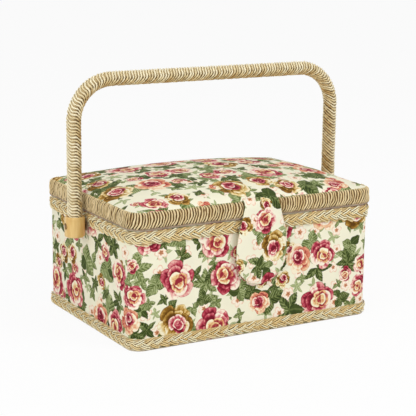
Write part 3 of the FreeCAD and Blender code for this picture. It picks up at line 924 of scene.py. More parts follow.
@dataclass(frozen=True)
class RosePrint(Finish):
    """Cream cloth printed with roses, leaves and small flowers."""

    name: str
    shift: tuple[float, float]
    ground: Colour = srgb(243, 239, 214)
    thread: float = 0.55 * MM
    mottle: float = 0.12
    mottle_scale: float = 60.0
    disorder: float = 0.62
    layers: tuple[PrintLayer, ...] = (
        PrintLayer("pale_leaves", Spray(5, 0.22), 27 * MM, 1.2, 17 * MM, 0.8, (17.3, 9.7),
                   ((1.0, PALE_LEAF),)),
        PrintLayer("blossoms", Blossom(), 21 * MM, 1.0, 9 * MM, 0.5, (11.7, 2.9),
                   ((1.0, PALE_BLOOM),)),
        PrintLayer("sage_leaves", Spray(4, 0.31), 31 * MM, 1.1, 22 * MM, 0.9, (3.3, 7.1),
                   ((0.6, SAGE_LEAF), (1.0, DARK_LEAF))),
        PrintLayer("long_leaves", Spray(5, 0.27), 42 * MM, 1.1, 32 * MM, 0.95, (14.1, 23.8),
                   ((0.5, DARK_LEAF), (1.0, SAGE_LEAF)), (DARK_LEAF, DARK_LEAF)),
        PrintLayer("broad_leaves", Spray(3, 0.46), 46 * MM, 1.15, 38 * MM, 1.0, (5.9, 13.4),
                   ((0.45, DARK_LEAF), (1.0, SAGE_LEAF)), (DARK_LEAF, DARK_LEAF)),
        PrintLayer("buds", Rose(), 36 * MM, 0.8, 10 * MM, 0.42, (21.4, 16.2),
                   ((0.5, CRIMSON), (0.75, PEACH), (1.0, OCHRE)), (BLUSH, CRIMSON, CRIMSON)),
        PrintLayer("roses", Rose(), 45 * MM, 1.15, 22 * MM, 0.88, (8.2, 4.6),
                   ((0.48, CRIMSON), (0.68, PEACH), (1.0, OCHRE)), (BLUSH, CRIMSON, CRIMSON)),
    )

    def surface(self, graph: Graph) -> Term:
        """Build the print over a plain weave.

        Args:
            graph: Tree of the material.

        Returns:
            The shader.
        """
        cut = graph.node("ShaderNodeUVMap", uv_map=UV_LAYER)
        across, up, _ = graph.split(graph.term(cut))
        across, up = across + self.shift[0], up + self.shift[1]
        colour: object = self.ground
        for layer in self.layers:
            colour = self.strew(graph, layer, across, up, colour)
        cloud = graph.noise(graph.vector(across, up), self.mottle_scale, 3.0)
        colour = graph.darken(colour, cloud * self.mottle + (1 - self.mottle / 2))
        pitch = TURN / self.thread
        warp = (across * pitch).sine()
        weft = (up * pitch).sine()
        return self.shader(graph, colour, 0.82, warp * weft, depth=0.05 * MM, strength=0.25,
                           Sheen_Weight=0.02, Specular_IOR_Level=0.14)

    def strew(self, graph: Graph, layer: PrintLayer, across: Term, up: Term, under: object) -> Term:
        """Lay one kind of motif over the colours below it.

        Args:
            graph: Tree of the material.
            layer: Motif and how it is strewn.
            across, up: Place on the cloth in metres.
            under: Colour below.

        Returns:
            The colour with the motif on it.
        """
        where = graph.vector(across / layer.cell + layer.shift[0], up / layer.cell + layer.shift[1])
        spread = {"Vector": where, "Scale": 1.0, "Randomness": self.disorder}
        near, room = [graph.node("ShaderNodeTexVoronoi", spread, voronoi_dimensions="2D", feature=kind)
                      for kind in ("F1", "N_SPHERE_RADIUS")]
        centre_x, centre_y, _ = graph.split(graph.term(near, "Position"))
        spot_x, spot_y, _ = graph.split(where)
        chance, second, third = graph.split(graph.term(near, "Color"))
        radius = (graph.term(room, "Radius") * layer.reach).least(layer.largest / layer.cell)
        x, y = (spot_x - centre_x) / radius, (spot_y - centre_y) / radius
        turn = chance * TURN
        cos, sin = turn.cosine(), turn.sine()
        group = graph.node("ShaderNodeGroup", node_tree=motif(layer.name, layer.draw))
        graph.feed(group.inputs[0], x * cos - y * sin)
        graph.feed(group.inputs[1], x * sin + y * cos)
        graph.feed(group.inputs[2], second)
        shade, heart = graph.term(group, 0), graph.term(group, 2)
        looks = [graph.ramp(shade, stops) for _, stops in layer.ramps]
        for index, stops in enumerate(layer.hearts):
            looks[index] = graph.blend(heart, looks[index], graph.ramp(shade, stops))
        colour = looks[0]
        for (limit, _), look in zip(layer.ramps, looks[1:]):
            colour = graph.blend(third.over(limit), colour, look)
        return graph.blend(graph.term(group, 1) * second.under(layer.share), under, colour)


@dataclass(frozen=True)
class StrawFinish(Finish):
    """Dried straw that varies from strand to strand, with fibres along it and painted shade in its gaps:
    on its inner sides, where it passes under, and on the dark beds behind it.
    """

    name: str
    deep: Colour
    body: Colour
    pale: Colour
    # the gap colour is painted shade, laid on the inner side of each straw, where a strand passes under,
    # and on the beds behind
    gap_shade: Colour
    stain: Colour = srgb(160, 140, 74)
    fibres: float = 5.0
    fibre_length: float = 90.0
    fibre_tones: tuple[float, float] = (0.75, 0.58)
    straw_side_shade: tuple[float, float] = (0.16, 0.4)
    crossing_shade: float = 0.6

    def surface(self, graph: Graph) -> Term:
        """Build the straw.

        Args:
            graph: Tree of the material.

        Returns:
            The shader.
        """
        tone, along, around = [self.mark(graph, name) for name in ("tone", "along", "around")]
        colour = graph.ramp(tone, ((0.0, self.deep), (0.35, self.body), (0.75, self.pale),
                                   (0.955, self.pale), (0.965, self.stain)))
        strand = graph.vector(along * self.fibre_length, around * self.fibres, tone * 40)
        fibre = graph.noise(strand, 2.0, 3.0, 0.6)
        # painted shade: straw sides, crossings under other strands and the dark beds take the gap colour
        painted_shade = around.ease(*self.straw_side_shade).most(self.mark(graph, "under") * self.crossing_shade)
        contrast, base = self.fibre_tones
        colour = graph.blend(painted_shade, graph.darken(colour, fibre * contrast + base), self.gap_shade)
        return self.shader(graph, colour, fibre * 0.3 + 0.42, fibre, depth=0.25 * MM, strength=0.6,
                           Specular_IOR_Level=0.35)

    @staticmethod
    def mark(graph: Graph, name: str) -> Term:
        """A number that the strands carry under a name."""
        return graph.term(graph.node("ShaderNodeAttribute", attribute_name=name), "Fac")


@dataclass(frozen=True)
class PlainCloth(Finish):
    """Plain woven cotton."""

    name: str
    colour: Colour
    shade: Colour
    thread: float = 0.7 * MM
    slub_scale: float = 90.0

    def surface(self, graph: Graph) -> Term:
        """Build the weave.

        Args:
            graph: Tree of the material.

        Returns:
            The shader.
        """
        x, y, z = graph.split(self.spot(graph))
        slub = graph.noise(graph.vector(x, y, z), self.slub_scale, 4.0)
        colour = graph.blend(slub.ease(0.3, 0.75), self.shade, self.colour)
        pitch = TURN / self.thread
        weave = ((x + y) * pitch).sine() * ((x - y + z) * pitch).sine()
        return self.shader(graph, colour, slub * 0.15 + 0.8, weave + slub * 0.5, depth=0.08 * MM,
                           strength=0.35, Sheen_Weight=0.1)


@dataclass(frozen=True)
class WoodFinish(Finish):
    """Wood with grain along one axis."""

    name: str
    light: Colour
    dark: Colour
    axis: int = 2
    gloss: float = 0.35
    stretch: float = 9.0
    grain_scale: float = 420.0
    cloud_scale: float = 70.0

    def surface(self, graph: Graph) -> Term:
        """Build the grain.

        Args:
            graph: Tree of the material.

        Returns:
            The shader.
        """
        parts = list(graph.split(self.spot(graph)))
        parts[self.axis] = parts[self.axis] * (1 / self.stretch)
        grain = graph.noise(graph.vector(*parts), self.grain_scale, 4.0, 0.6)
        cloud = graph.noise(graph.vector(*parts), self.cloud_scale, 2.0)
        colour = graph.blend((grain * 0.65 + cloud * 0.45).ease(0.35, 0.75), self.dark, self.light)
        return self.shader(graph, colour, grain * 0.2 + self.gloss, grain, depth=0.1 * MM,
                           strength=0.25, Coat_Weight=0.15)


@dataclass(frozen=True)
class BoardFinish(Finish):
    """Pressed board or card with small flecks."""

    name: str
    light: Colour
    dark: Colour
    fleck: float = 900.0

    def surface(self, graph: Graph) -> Term:
        """Build the flecks.

        Args:
            graph: Tree of the material.

        Returns:
            The shader.
        """
        spot = self.spot(graph)
        fleck = graph.noise(spot, self.fleck, 3.0, 0.7)
        colour = graph.blend(fleck.ease(0.3, 0.7), self.dark, self.light)
        return self.shader(graph, colour, fleck * 0.2 + 0.7, fleck, depth=0.1 * MM, strength=0.3)


@dataclass(frozen=True)
class MetalFinish(Finish):
    """Plated steel with fine wear."""

    name: str
    bright: Colour
    dull: Colour
    wear_scale: float = 260.0

    def surface(self, graph: Graph) -> Term:
        """Build the plating.

        Args:
            graph: Tree of the material.

        Returns:
            The shader.
        """
        spot = self.spot(graph)
        wear = graph.noise(spot, self.wear_scale, 4.0, 0.65)
        colour = graph.blend(wear.ease(0.35, 0.7), self.bright, self.dull)
        return self.shader(graph, colour, wear * 0.25 + 0.2, wear, depth=0.03 * MM, strength=0.3,
                           Metallic=1.0)


@dataclass(frozen=True)
class PlasticFinish(Finish):
    """Moulded plastic with a fine stipple."""

    name: str
    colour: Colour
    shade: Colour
    stipple_scale: float = 1400.0
    cloud_scale: float = 30.0

    def surface(self, graph: Graph) -> Term:
        """Build the stipple.

        Args:
            graph: Tree of the material.

        Returns:
            The shader.
        """
        spot = self.spot(graph)
        stipple = graph.noise(spot, self.stipple_scale, 2.0)
        cloud = graph.noise(spot, self.cloud_scale, 2.0)
        colour = graph.blend(cloud.ease(0.3, 0.7), self.shade, self.colour)
        return self.shader(graph, colour, stipple * 0.2 + 0.3, stipple, depth=0.05 * MM, strength=0.2)


class Finishes:
    """The finishes of this basket."""

    sides = RosePrint("rose_print_sides", (0.327, 0.052))
    top = RosePrint("rose_print_lid", (1.43, 0.83))
    # each straw finish's last colour is painted shade for the gaps between and behind its straws
    rim = StrawFinish("straw_rim", srgb(198, 164, 104), srgb(218, 192, 140), srgb(238, 216, 168),
                      gap_shade=srgb(108, 76, 26))
    plait = StrawFinish("straw_plait", srgb(204, 160, 84), srgb(246, 218, 154), srgb(255, 249, 214),
                        gap_shade=srgb(112, 72, 14), fibres=9.0, straw_side_shade=(0.15, 0.36))
    wound = StrawFinish("straw_handle", srgb(186, 146, 80), srgb(226, 204, 152), srgb(252, 240, 204),
                        gap_shade=srgb(96, 66, 20))
    lining = PlainCloth("lining_cloth", srgb(238, 230, 210), srgb(222, 212, 188))
    cushion = PlainCloth("cushion_cloth", srgb(186, 70, 92), srgb(160, 52, 76))
    tape = PlainCloth("taupe_tape", srgb(186, 164, 140), srgb(150, 126, 104), 0.9 * MM)
    honey = WoodFinish("honey_wood", srgb(236, 202, 132), srgb(214, 166, 84), gloss=0.26)
    batten = WoodFinish("batten_wood", srgb(214, 186, 138), srgb(190, 156, 104), 1, 0.5)
    cane = WoodFinish("cane", srgb(210, 178, 120), srgb(176, 140, 84))
    board = BoardFinish("fibreboard", srgb(176, 146, 104), srgb(140, 110, 72))
    card = BoardFinish("card", srgb(204, 190, 164), srgb(182, 166, 138), 500.0)
    steel = MetalFinish("plated_steel", srgb(214, 208, 196), srgb(160, 152, 138))
    bronze = MetalFinish("bronzed_steel", srgb(160, 122, 66), srgb(116, 84, 42))
    magnet = MetalFinish("magnet_steel", srgb(190, 190, 194), srgb(130, 130, 136))
    tray = PlasticFinish("tray_plastic", srgb(236, 226, 204), srgb(226, 214, 190))


# ---------------------------------------------------------------- geometry nodes


class PathTree:
    """A geometry node tree with named inputs that turns a path into a mesh."""

    straw_sides = 6
    # the beds are dark grounds painted as the shade behind the straws
    bed_sides = 8
    bed_tone = 0.3

    def __init__(self, name: str, inputs: dict[str, str]) -> None:
        """Make the tree and its inputs.

        Args:
            name: Name of the tree.
            inputs: Socket types by input name.
        """
        self.tree = bpy.data.node_groups.new(name, "GeometryNodeTree")
        self.graph = Graph(self.tree)
        self.tree.interface.new_socket("Path", in_out="INPUT", socket_type="NodeSocketGeometry")
        for title, kind in inputs.items():
            self.tree.interface.new_socket(title, in_out="INPUT", socket_type=kind)
        self.tree.interface.new_socket("Mesh", in_out="OUTPUT", socket_type="NodeSocketGeometry")
        self.source = self.graph.node("NodeGroupInput")

    def value(self, title: str) -> Term:
        """One named input."""
        return self.graph.term(self.source, title)

    def chance(self, low: float, high: float, seed: int, number: Optional[Term] = None) -> Term:
        """A random number for each element.

        Args:
            low, high: Its range.
            seed: Fixed seed.
            number: What it is drawn for; the element's own number when left out.

        Returns:
            The number.
        """
        made = self.graph.node("FunctionNodeRandomValue", data_type="FLOAT")
        made.inputs[2].default_value = low
        made.inputs[3].default_value = high
        made.inputs[8].default_value = seed
        if number is not None:
            self.graph.feed(made.inputs[7], number)
        return Term(self.graph, made.outputs[1])

    def curve(self, share: int = 1) -> Term:
        """Turn the path into an evenly divided curve.

        Args:
            share: Has one point for so many of the wanted count.

        Returns:
            The curve.
        """
        line = self.graph.node("GeometryNodeMeshToCurve", {"Mesh": self.value("Path")})
        count = self.value("Count") if share == 1 else self.value("Count") / share
        even = self.graph.node("GeometryNodeResampleCurve", {"Curve": line.outputs[0], "Count": count})
        return self.graph.term(even)

    def outward(self, ahead: Term) -> Term:
        """Level way out of a loop, from the way along it."""
        return self.graph.vmath("CROSS_PRODUCT", ahead, UPWARD)

    def keep(self, geometry: Term, name: str, value: Term, domain: str = "POINT") -> Term:
        """Store a number on the geometry under a name."""
        made = self.graph.node("GeometryNodeStoreNamedAttribute",
                               {"Geometry": geometry, "Name": name, "Value": value},
                               data_type="FLOAT", domain=domain)
        return self.graph.term(made)

    def oval(self, wide: Term, thick: Term, sides: int) -> Term:
        """Make an oval section that marks its inner side, where the straw finish paints shade.

        Args:
            wide: Its width.
            thick: Its thickness, along the curve's normal.
            sides: Points round it.

        Returns:
            The section.
        """
        ring = self.graph.node("GeometryNodeCurvePrimitiveCircle", {"Resolution": sides, "Radius": 0.5})
        factor = self.graph.term(self.graph.node("GeometryNodeSplineParameter"), "Factor")
        kept = self.keep(self.graph.term(ring), "around", 0.5 - (factor - 0.5).size())
        size = self.graph.vector(thick, wide, 1.0)
        made = self.graph.node("GeometryNodeTransform", {"Geometry": kept, "Scale": size})
        return self.graph.term(made)

    def tube(self, curve: Term, normal: Term, section: Term, swell: Number = 1.0) -> Term:
        """Sweep a section along a curve.

        Args:
            curve: Line to follow.
            normal: Normal of the line.
            section: Closed section.
            swell: Size of the section along the line.

        Returns:
            The closed tube.
        """
        held = self.graph.node("GeometryNodeSetCurveNormal", {"Curve": curve, "Normal": normal},
                               mode="FREE")
        made = self.graph.node("GeometryNodeCurveToMesh", {"Curve": held.outputs[0],
                                                           "Profile Curve": section,
                                                           "Scale": swell, "Fill Caps": True})
        return self.graph.term(made)

    def shade_bed(self, share: int, inward: Term, rise: Number, wide: Number, thick: Number,
            shade_depth: float = 0.5) -> Term:
        """Lay a dark ground under the straws, swept along the path, painted as the shade in their gaps.

        Args:
            share: Has one point along the path for so many of the straws' points.
            inward: Way that the ground is moved in from the path.
            rise: How far it is moved up.
            wide, thick: Size of its oval section.
            shade_depth: How deep its painted shade is, from 0 to 0.5.

        Returns:
            The ground, marked to take the straw finish's painted shade colour.
        """
        even = self.curve(share)
        move = self.graph.vmath("ADD", inward, self.graph.vector(0.0, 0.0, rise))
        moved = self.graph.node("GeometryNodeSetPosition", {"Geometry": even, "Offset": move})
        out = self.outward(self.graph.term(self.graph.node("GeometryNodeInputTangent")))
        made = self.tube(self.graph.term(moved), out, self.oval(wide, thick, self.bed_sides))
        return self.keep(self.keep(made, "around", shade_depth), "tone", self.bed_tone)

    def join(self, *parts: Term) -> Term:
        """Put geometries together.

        Args:
            parts: The geometries.

        Returns:
            All of them as one.
        """
        joined = self.graph.node("GeometryNodeJoinGeometry")
        for part in parts:
            self.tree.links.new(part.socket, joined.inputs[0])
        return self.graph.term(joined)

    def close(self, geometry: Term) -> None:
        """End the tree with a real mesh, smooth and with its material.

        Args:
            geometry: What the tree has made.
        """
        real = self.graph.node("GeometryNodeRealizeInstances", {"Geometry": geometry})
        smooth = self.graph.node("GeometryNodeSetShadeSmooth", {"Geometry": real.outputs[0]})
        dressed = self.graph.node("GeometryNodeSetMaterial", {"Geometry": smooth.outputs[0],
                                                              "Material": self.value("Finish")})
        self.graph.node("NodeGroupOutput", {0: dressed.outputs[0]})

    def grow(self, name: str, path: Sequence[Vector], closed: bool,
             values: dict[str, object]) -> bpy.types.Object:
        """Run the tree on a path and keep the plain mesh.

        Args:
            name: Name of the piece.
            path: Points of the path.
            closed: Whether the path is a loop.
            values: Values for the named inputs.

        Returns:
            The new object, with no modifier.
        """
        line = bpy.data.meshes.new(name + "_path")
        edges = [(i, i + 1) for i in range(len(path) - 1)] + ([(len(path) - 1, 0)] if closed else [])
        line.from_pydata([tuple(p) for p in path], edges, [])
        host = place(name + "_path", line)
        modifier = host.modifiers.new(name, "NODES")
        modifier.node_group = self.tree
        for item in self.tree.interface.items_tree:
            if item.in_out == "INPUT" and item.name in values:
                modifier[item.identifier] = values[item.name]
        graph = bpy.context.evaluated_depsgraph_get()
        mesh = bpy.data.meshes.new_from_object(host.evaluated_get(graph), depsgraph=graph)
        mesh.name = name
        host.modifiers.remove(modifier)
        bpy.data.objects.remove(host)
        bpy.data.meshes.remove(line)
        return place(name, mesh)


FLOAT, INT = "NodeSocketFloat", "NodeSocketInt"
OBJECT, MATERIAL = "NodeSocketObject", "NodeSocketMaterial"


class PlaitTree(PathTree):
    """Three strands of a few straws each, plaited along a level loop.

    Each shade bed is a dark ground behind the straws, painted as the shade in their gaps: its width in
    swings, its inset and how deep its painted shade is.
    """

    strands = 3
    straw_share = 0.68
    shade_beds = ((2.9, 1.1 * MM, 0.2), (1.7, 0.9 * MM, 0.45))
    bed_share = 6
    bed_rise = 0.2 * MM
    bed_thick = 0.9 * MM
    crease = 0.95
    steep = 4.6
    tones = (0.2, 0.9)
    ripple_scale = 130
    stray_up = 1.8 * MM
    stray_out = 1.1 * MM
    round_off = 0.55 * MM

    def __init__(self, straws: int = 3) -> None:
        """Build the tree.

        Args:
            straws: Straws side by side in a strand.
        """
        super().__init__("plait", {"Count": INT, "Period": FLOAT, "Swing": FLOAT, "Weave": FLOAT,
                                   "Width": FLOAT, "Thickness": FLOAT, "Finish": MATERIAL})
        g = self.graph
        base = self.curve()
        length = g.term(g.node("GeometryNodeSplineParameter"), "Length")
        ahead = g.term(g.node("GeometryNodeInputTangent"))
        outward = self.outward(ahead)
        share = self.value("Width") / straws
        section = self.oval(share * self.straw_share, self.value("Thickness"), self.straw_sides)
        tubes = []
        # dark beds behind the plait, painted as the shade in its gaps
        for wide, inset, shade_depth in self.shade_beds:
            tubes.append(self.shade_bed(self.bed_share, g.scale(outward, -inset), self.bed_rise,
                                  self.value("Swing") * wide, self.bed_thick, shade_depth))
        for strand in range(self.strands):
            turn = (length / self.value("Period") + strand / self.strands) * TURN
            lift = g.math("ARCSINE", turn.sine() * self.crease) * (1 / math.asin(self.crease))
            slope = turn.cosine() * self.value("Swing") * self.steep / self.value("Period")
            norm = (slope * slope + 1.0).power(-0.5)
            depth = (turn * 2).sine() * self.value("Weave")
            lobe = (length / self.value("Period") * 2 + strand * 0.66 + 0.5).floor()
            for straw in range(straws):
                aside = share * (straw - (straws - 1) / 2) * norm
                place_in = g.vector(length * self.ripple_scale, strand * 9.0 + straw * 3.7)
                ripple = g.noise(place_in, 1.0, 1.0) - 0.5
                rise = lift * self.value("Swing") + aside + ripple * self.stray_up
                round_off = (2 * straw / (straws - 1) - 1) ** 2 * self.round_off
                out = depth + ripple * self.stray_out - round_off
                marked = self.keep(base, "along", length)
                # painted shade where the strand passes under another
                marked = self.keep(marked, "under", (turn * 2).sine().ease(0.0, -0.9))
                mark = lobe + strand * 400 + straw * 150
                marked = self.keep(marked, "tone", self.chance(*self.tones, 5 + straw, mark))
                move = g.vmath("ADD", g.scale(outward, out), g.vector(0.0, 0.0, rise))
                move = g.vmath("ADD", move, g.scale(ahead, aside * slope * -1.0))
                moved = g.node("GeometryNodeSetPosition", {"Geometry": marked, "Offset": move})
                tubes.append(self.tube(g.term(moved), outward, section))
        self.close(self.join(*tubes))


class WindingTree(PathTree):
    """One strand wound round a rod; its slant changes round the rod and makes a seam below.

    Places round the rod are in degrees, 0 at the front and 90 on the outer side of the handle. The
    strand is painted darker as shade towards the inner side of the arch, and under it lies a dark sleeve
    painted as the shade in its gaps.
    """

    front_climb = (-95.0, 2.0)
    top_climb = (50.0, 122.0)
    back_fall = (126.0, 250.0)
    front_share = 0.59
    # painted shade: the strand is darker towards the inner side of the arch
    arch_shade_span = (30.0, -40.0)
    arch_shade = 0.42
    tones = (0.45, 0.95)
    swell = (-40.0, 16.0, 0.72, 1.4)
    thin_from = (50.0, 75.0)
    thin_by = 0.2
    stray_along = 1.7 * MM
    drift_along = 2.0 * MM
    stray_out = 0.5 * MM
    turn_length = 44 * MM
    # the sleeve under the strand is painted as the shade in its gaps, darker on one side
    rod_sides = 18
    rod_share = 30
    rod_shade = (0.14, 0.34)

    def __init__(self) -> None:
        """Build the tree."""
        super().__init__("winding", {"Count": INT, "Pitch": FLOAT, "Radius": FLOAT, "Slant": FLOAT,
                                     "Width": FLOAT, "Thickness": FLOAT, "Finish": MATERIAL})
        g = self.graph
        base = self.curve()
        length = g.term(g.node("GeometryNodeSplineParameter"), "Length")
        turns = length / self.value("Pitch")
        degrees = turns.fraction() * -360.0 + 270.0
        slide = degrees.climb(*self.front_climb) * self.front_share
        slide = slide + degrees.climb(*self.top_climb) * (1 - self.front_share)
        slide = slide - degrees.climb(*self.back_fall) - 0.5
        ripple = g.noise(g.vector(turns * 5.3, 4.0), 1.0, 2.0) - 0.5
        drift = g.noise(g.vector(turns * 1.7, 9.0), 1.0, 1.0) - 0.5
        shift = slide * self.value("Slant") + ripple * self.stray_along + drift * self.drift_along
        sampled = g.node("GeometryNodeSampleCurve", {"Curves": base, "Length": length + shift},
                         mode="LENGTH")
        ahead = g.term(sampled, "Tangent")
        front = g.vector(0.0, -1.0, 0.0)
        outer = g.vmath("CROSS_PRODUCT", front, ahead)
        angle = degrees * (math.pi / 180)
        radial = g.vmath("ADD", g.scale(front, angle.cosine()), g.scale(outer, angle.sine()))
        radius = self.value("Radius") + ripple * self.stray_out
        spot = g.vmath("ADD", g.term(sampled, "Position"), g.scale(radial, radius))
        marked = self.keep(base, "along", turns * self.turn_length)
        # painted shade towards the inner side of the arch
        low = degrees.ease(*self.arch_shade_span) * self.arch_shade
        marked = self.keep(marked, "tone", self.chance(*self.tones, 3, turns.floor()) - low)
        held = g.node("GeometryNodeStoreNamedAttribute",
                      {"Geometry": marked, "Name": "outward", "Value": radial},
                      data_type="FLOAT_VECTOR", domain="POINT")
        moved = g.node("GeometryNodeSetPosition", {"Geometry": held.outputs[0], "Position": spot})
        outward = g.node("GeometryNodeInputNamedAttribute", {"Name": "outward"},
                         data_type="FLOAT_VECTOR")
        section = self.oval(self.value("Width"), self.value("Thickness"), self.straw_sides)
        # a dark sleeve under the strand, painted as the shade in its gaps and darker on one side
        across = self.value("Radius") * 2 - self.value("Thickness") * 0.5
        ring = g.node("GeometryNodeCurvePrimitiveCircle", {"Resolution": self.rod_sides,
                                                           "Radius": across * 0.5})
        factor = g.term(g.node("GeometryNodeSplineParameter"), "Factor")
        contrast, middle = self.rod_shade
        shaded = self.keep(g.term(ring), "around", (factor * TURN).sine() * contrast + middle)
        rod = self.tube(self.curve(self.rod_share), front, shaded)
        ground = self.keep(rod, "tone", self.bed_tone)
        swell = degrees.ease(*self.swell) - degrees.ease(*self.thin_from) * self.thin_by
        strand = self.tube(g.term(moved), g.term(outward), section, swell)
        self.close(self.join(ground, strand))


class StrandRowTree(PathTree):
    """One strand repeated side by side along a level loop, each a little different, over a dark bed
    painted as the shade in their gaps.
    """

    lean = 0.08
    widths = (0.85, 1.15)
    depths = (0.75, 1.1)
    tones = (0.3, 0.975)
    sway = 3.4 * MM
    sway_scale = 170.0
    # the bed under the strands is a dark ground painted as the shade in their gaps
    bed_inset = 2.3 * MM
    bed_height = 135.4 * MM
    bed_size = (14.4 * MM, 2.2 * MM)

    def __init__(self) -> None:
        """Build the tree."""
        super().__init__("strand_row", {"Count": INT, "Strand": OBJECT, "Finish": MATERIAL})
        g = self.graph
        base = self.curve()
        ahead_x, ahead_y, _ = g.split(g.term(g.node("GeometryNodeInputTangent")))
        angle = g.math("ARCTAN2", ahead_y, ahead_x) + self.chance(-self.lean, self.lean, 11)
        strand = g.node("GeometryNodeObjectInfo", {"Object": self.value("Strand")})
        size = g.vector(self.chance(*self.widths, 12), self.chance(*self.depths, 13), 1.0)
        row = g.node("GeometryNodeInstanceOnPoints",
                     {"Points": base, "Instance": strand.outputs["Geometry"],
                      "Rotation": g.vector(0.0, 0.0, angle), "Scale": size})
        toned = self.keep(g.term(row), "tone", self.chance(*self.tones, 15), "INSTANCE")
        real = g.node("GeometryNodeRealizeInstances", {"Geometry": toned})
        spot = g.term(g.node("GeometryNodeInputPosition"))
        drift = g.node("ShaderNodeTexNoise", {"Vector": spot, "Scale": self.sway_scale, "Detail": 1.0})
        sway = g.scale(g.vmath("SUBTRACT", g.term(drift, "Color"), (0.5, 0.5, 0.5)), self.sway)
        side_x, side_y, _ = g.split(sway)
        moved = g.node("GeometryNodeSetPosition", {"Geometry": real.outputs[0],
                                                   "Offset": g.vector(side_x, side_y, 0.0)})
        # a dark bed under the strands, painted as the shade in their gaps
        ahead = g.term(g.node("GeometryNodeInputTangent"))
        inward = g.scale(self.outward(ahead), -self.bed_inset)
        ground = self.shade_bed(1, inward, self.bed_height, *self.bed_size)
        self.close(self.join(ground, g.term(moved)))


# ---------------------------------------------------------------- sub-assemblies


def report(piece: bpy.types.Object, *bodies: Body) -> None:
    """Log a finished piece and the bodies that move it."""
    names = " and ".join(body.value for body in bodies)
    log.info("%s: %d faces on %s", piece.name, len(piece.data.polygons), names)


def attach(piece: bpy.types.Object, body: Body, slot: Slot, *nodes: str) -> None:
    """Let a piece ride on a body and hide the CAD nodes that it stands for.

    Args:
        piece: The finished piece.
        body: Body that it moves with.
        slot: Material slot of the record; not used.
        nodes: CAD nodes that it stands for.
    """
    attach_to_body(piece, body.value)
    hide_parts(*nodes)
    report(piece, body)


@dataclass
class ClothBox:
    """Box walls: printed outside, plain lining and floor cushion inside."""

    face: RoundedLoop = RoundedLoop(147 * MM, 105 * MM, 14 * MM)
    room: RoundedLoop = RoundedLoop(141.6 * MM, 99.6 * MM, 8.6 * MM)
    foot: float = 1.2 * MM
    top: float = 125.1 * MM
    mouth: float = 126.0 * MM
    cloth: float = 0.7 * MM
    floor: float = 5.0 * MM
    rows: int = 26
    uneven: float = 0.35 * MM
    uneven_scale: float = 28.0
    stand_off: float = 0.1 * MM

    def build(self) -> None:
        """Make and dress the pieces."""
        self.side_cloth()
        self.lining()
        self.floor_cushion()

    def side_cloth(self) -> None:
        """Draw printed cloth round the walls, with slight unevenness."""
        marks = self.face.marks(flat=7 * MM, bend=2 * MM)
        tall = self.top - self.foot
        heights = [self.foot + tall * step / self.rows for step in range(self.rows + 1)]
        rows, uvs = [], []
        for height in heights:
            row = []
            for mark in marks:
                point, out = self.face.at(mark)
                soft = noise.noise(Vector((mark * self.uneven_scale, height * self.uneven_scale, 3.0)))
                bow = math.sin(math.pi * (height - self.foot) / tall)
                away = self.uneven * soft * bow + self.stand_off
                row.append(point + out * away + Vector((0, 0, height)))
            rows.append(row)
            uvs.append([(mark, height) for mark in marks + [self.face.length()]])
        skin = Skin()
        outer = skin.grid(rows, uvs, loop=True)
        inside = []
        for height in (heights[0], heights[-1]):
            inside.append([self.face.at(mark)[0] - self.face.at(mark)[1] * self.cloth
                           + Vector((0, 0, height)) for mark in marks])
        inner = skin.grid(inside, loop=True)
        skin.bridge(outer[0], inner[0])
        skin.bridge(outer[-1], inner[1])
        piece = skin.piece("side_cloth")
        Finishes.sides.dress(piece)
        attach(piece, Body.BOX, Slot.PRINT, "side_cover")
        self.face.length()

    def lining(self) -> None:
        """Lay plain lining up the walls and over their top edge."""
        wide, thick, turn = 5.3 * MM, 0.5 * MM, 0.35 * MM
        foot, drop = self.floor + 0.2 * MM, self.mouth - 0.75 * MM
        outline = [(0.0, foot), (0.0, self.mouth - turn), (turn, self.mouth), (wide, self.mouth),
                   (wide, drop), (thick + 0.1 * MM, drop), (thick, drop - 0.4 * MM), (thick, foot)]
        piece = swept_band("lining_cloth", self.room, outline)
        Finishes.lining.dress(piece)
        attach(piece, Body.BOX, Slot.PLAIN, "side_lining")
        self.mouth - self.floor + wide
        self.room.length()

    def floor_cushion(self) -> None:
        """Lay a thin pad on the floor, quilted in diamonds."""
        loop = self.room.grown(-0.6 * MM)
        diamond, shoulder = 34 * MM, 6 * MM
        low, puff, at_seam, steep = 1.2 * MM, 2.9 * MM, 0.55, 2.2

        def height(spot: Vector) -> float:
            """Find the height of the pad.

            Args:
                spot: Point in plan.

            Returns:
                The height over it.
            """
            fall = rounded_edge(loop, spot, shoulder)
            seam = min(abs(math.sin(math.pi * (spot.x + spot.y) / diamond)),
                       abs(math.sin(math.pi * (spot.x - spot.y) / diamond)))
            full = at_seam + (1 - at_seam) * min(1.0, seam * steep)
            return self.floor + low + puff * fall * full

        piece = crowned_pad("floor_cushion", loop, self.floor + 0.05 * MM, height, 40, flat=6 * MM)
        Finishes.lining.dress(piece)
        attach(piece, Body.BOX, Slot.FOAM, "floor_pad")


@dataclass(frozen=True)
class Plait:
    """Names and sizes of one plait round the box.

    The loop is its middle line in plan, the period the wanted length of one full crossing, the swing
    how far a strand goes up and down, and the width that of a strand.
    """

    name: str
    node: str
    loop: RoundedLoop
    height: float
    period: float
    swing: float
    width: float


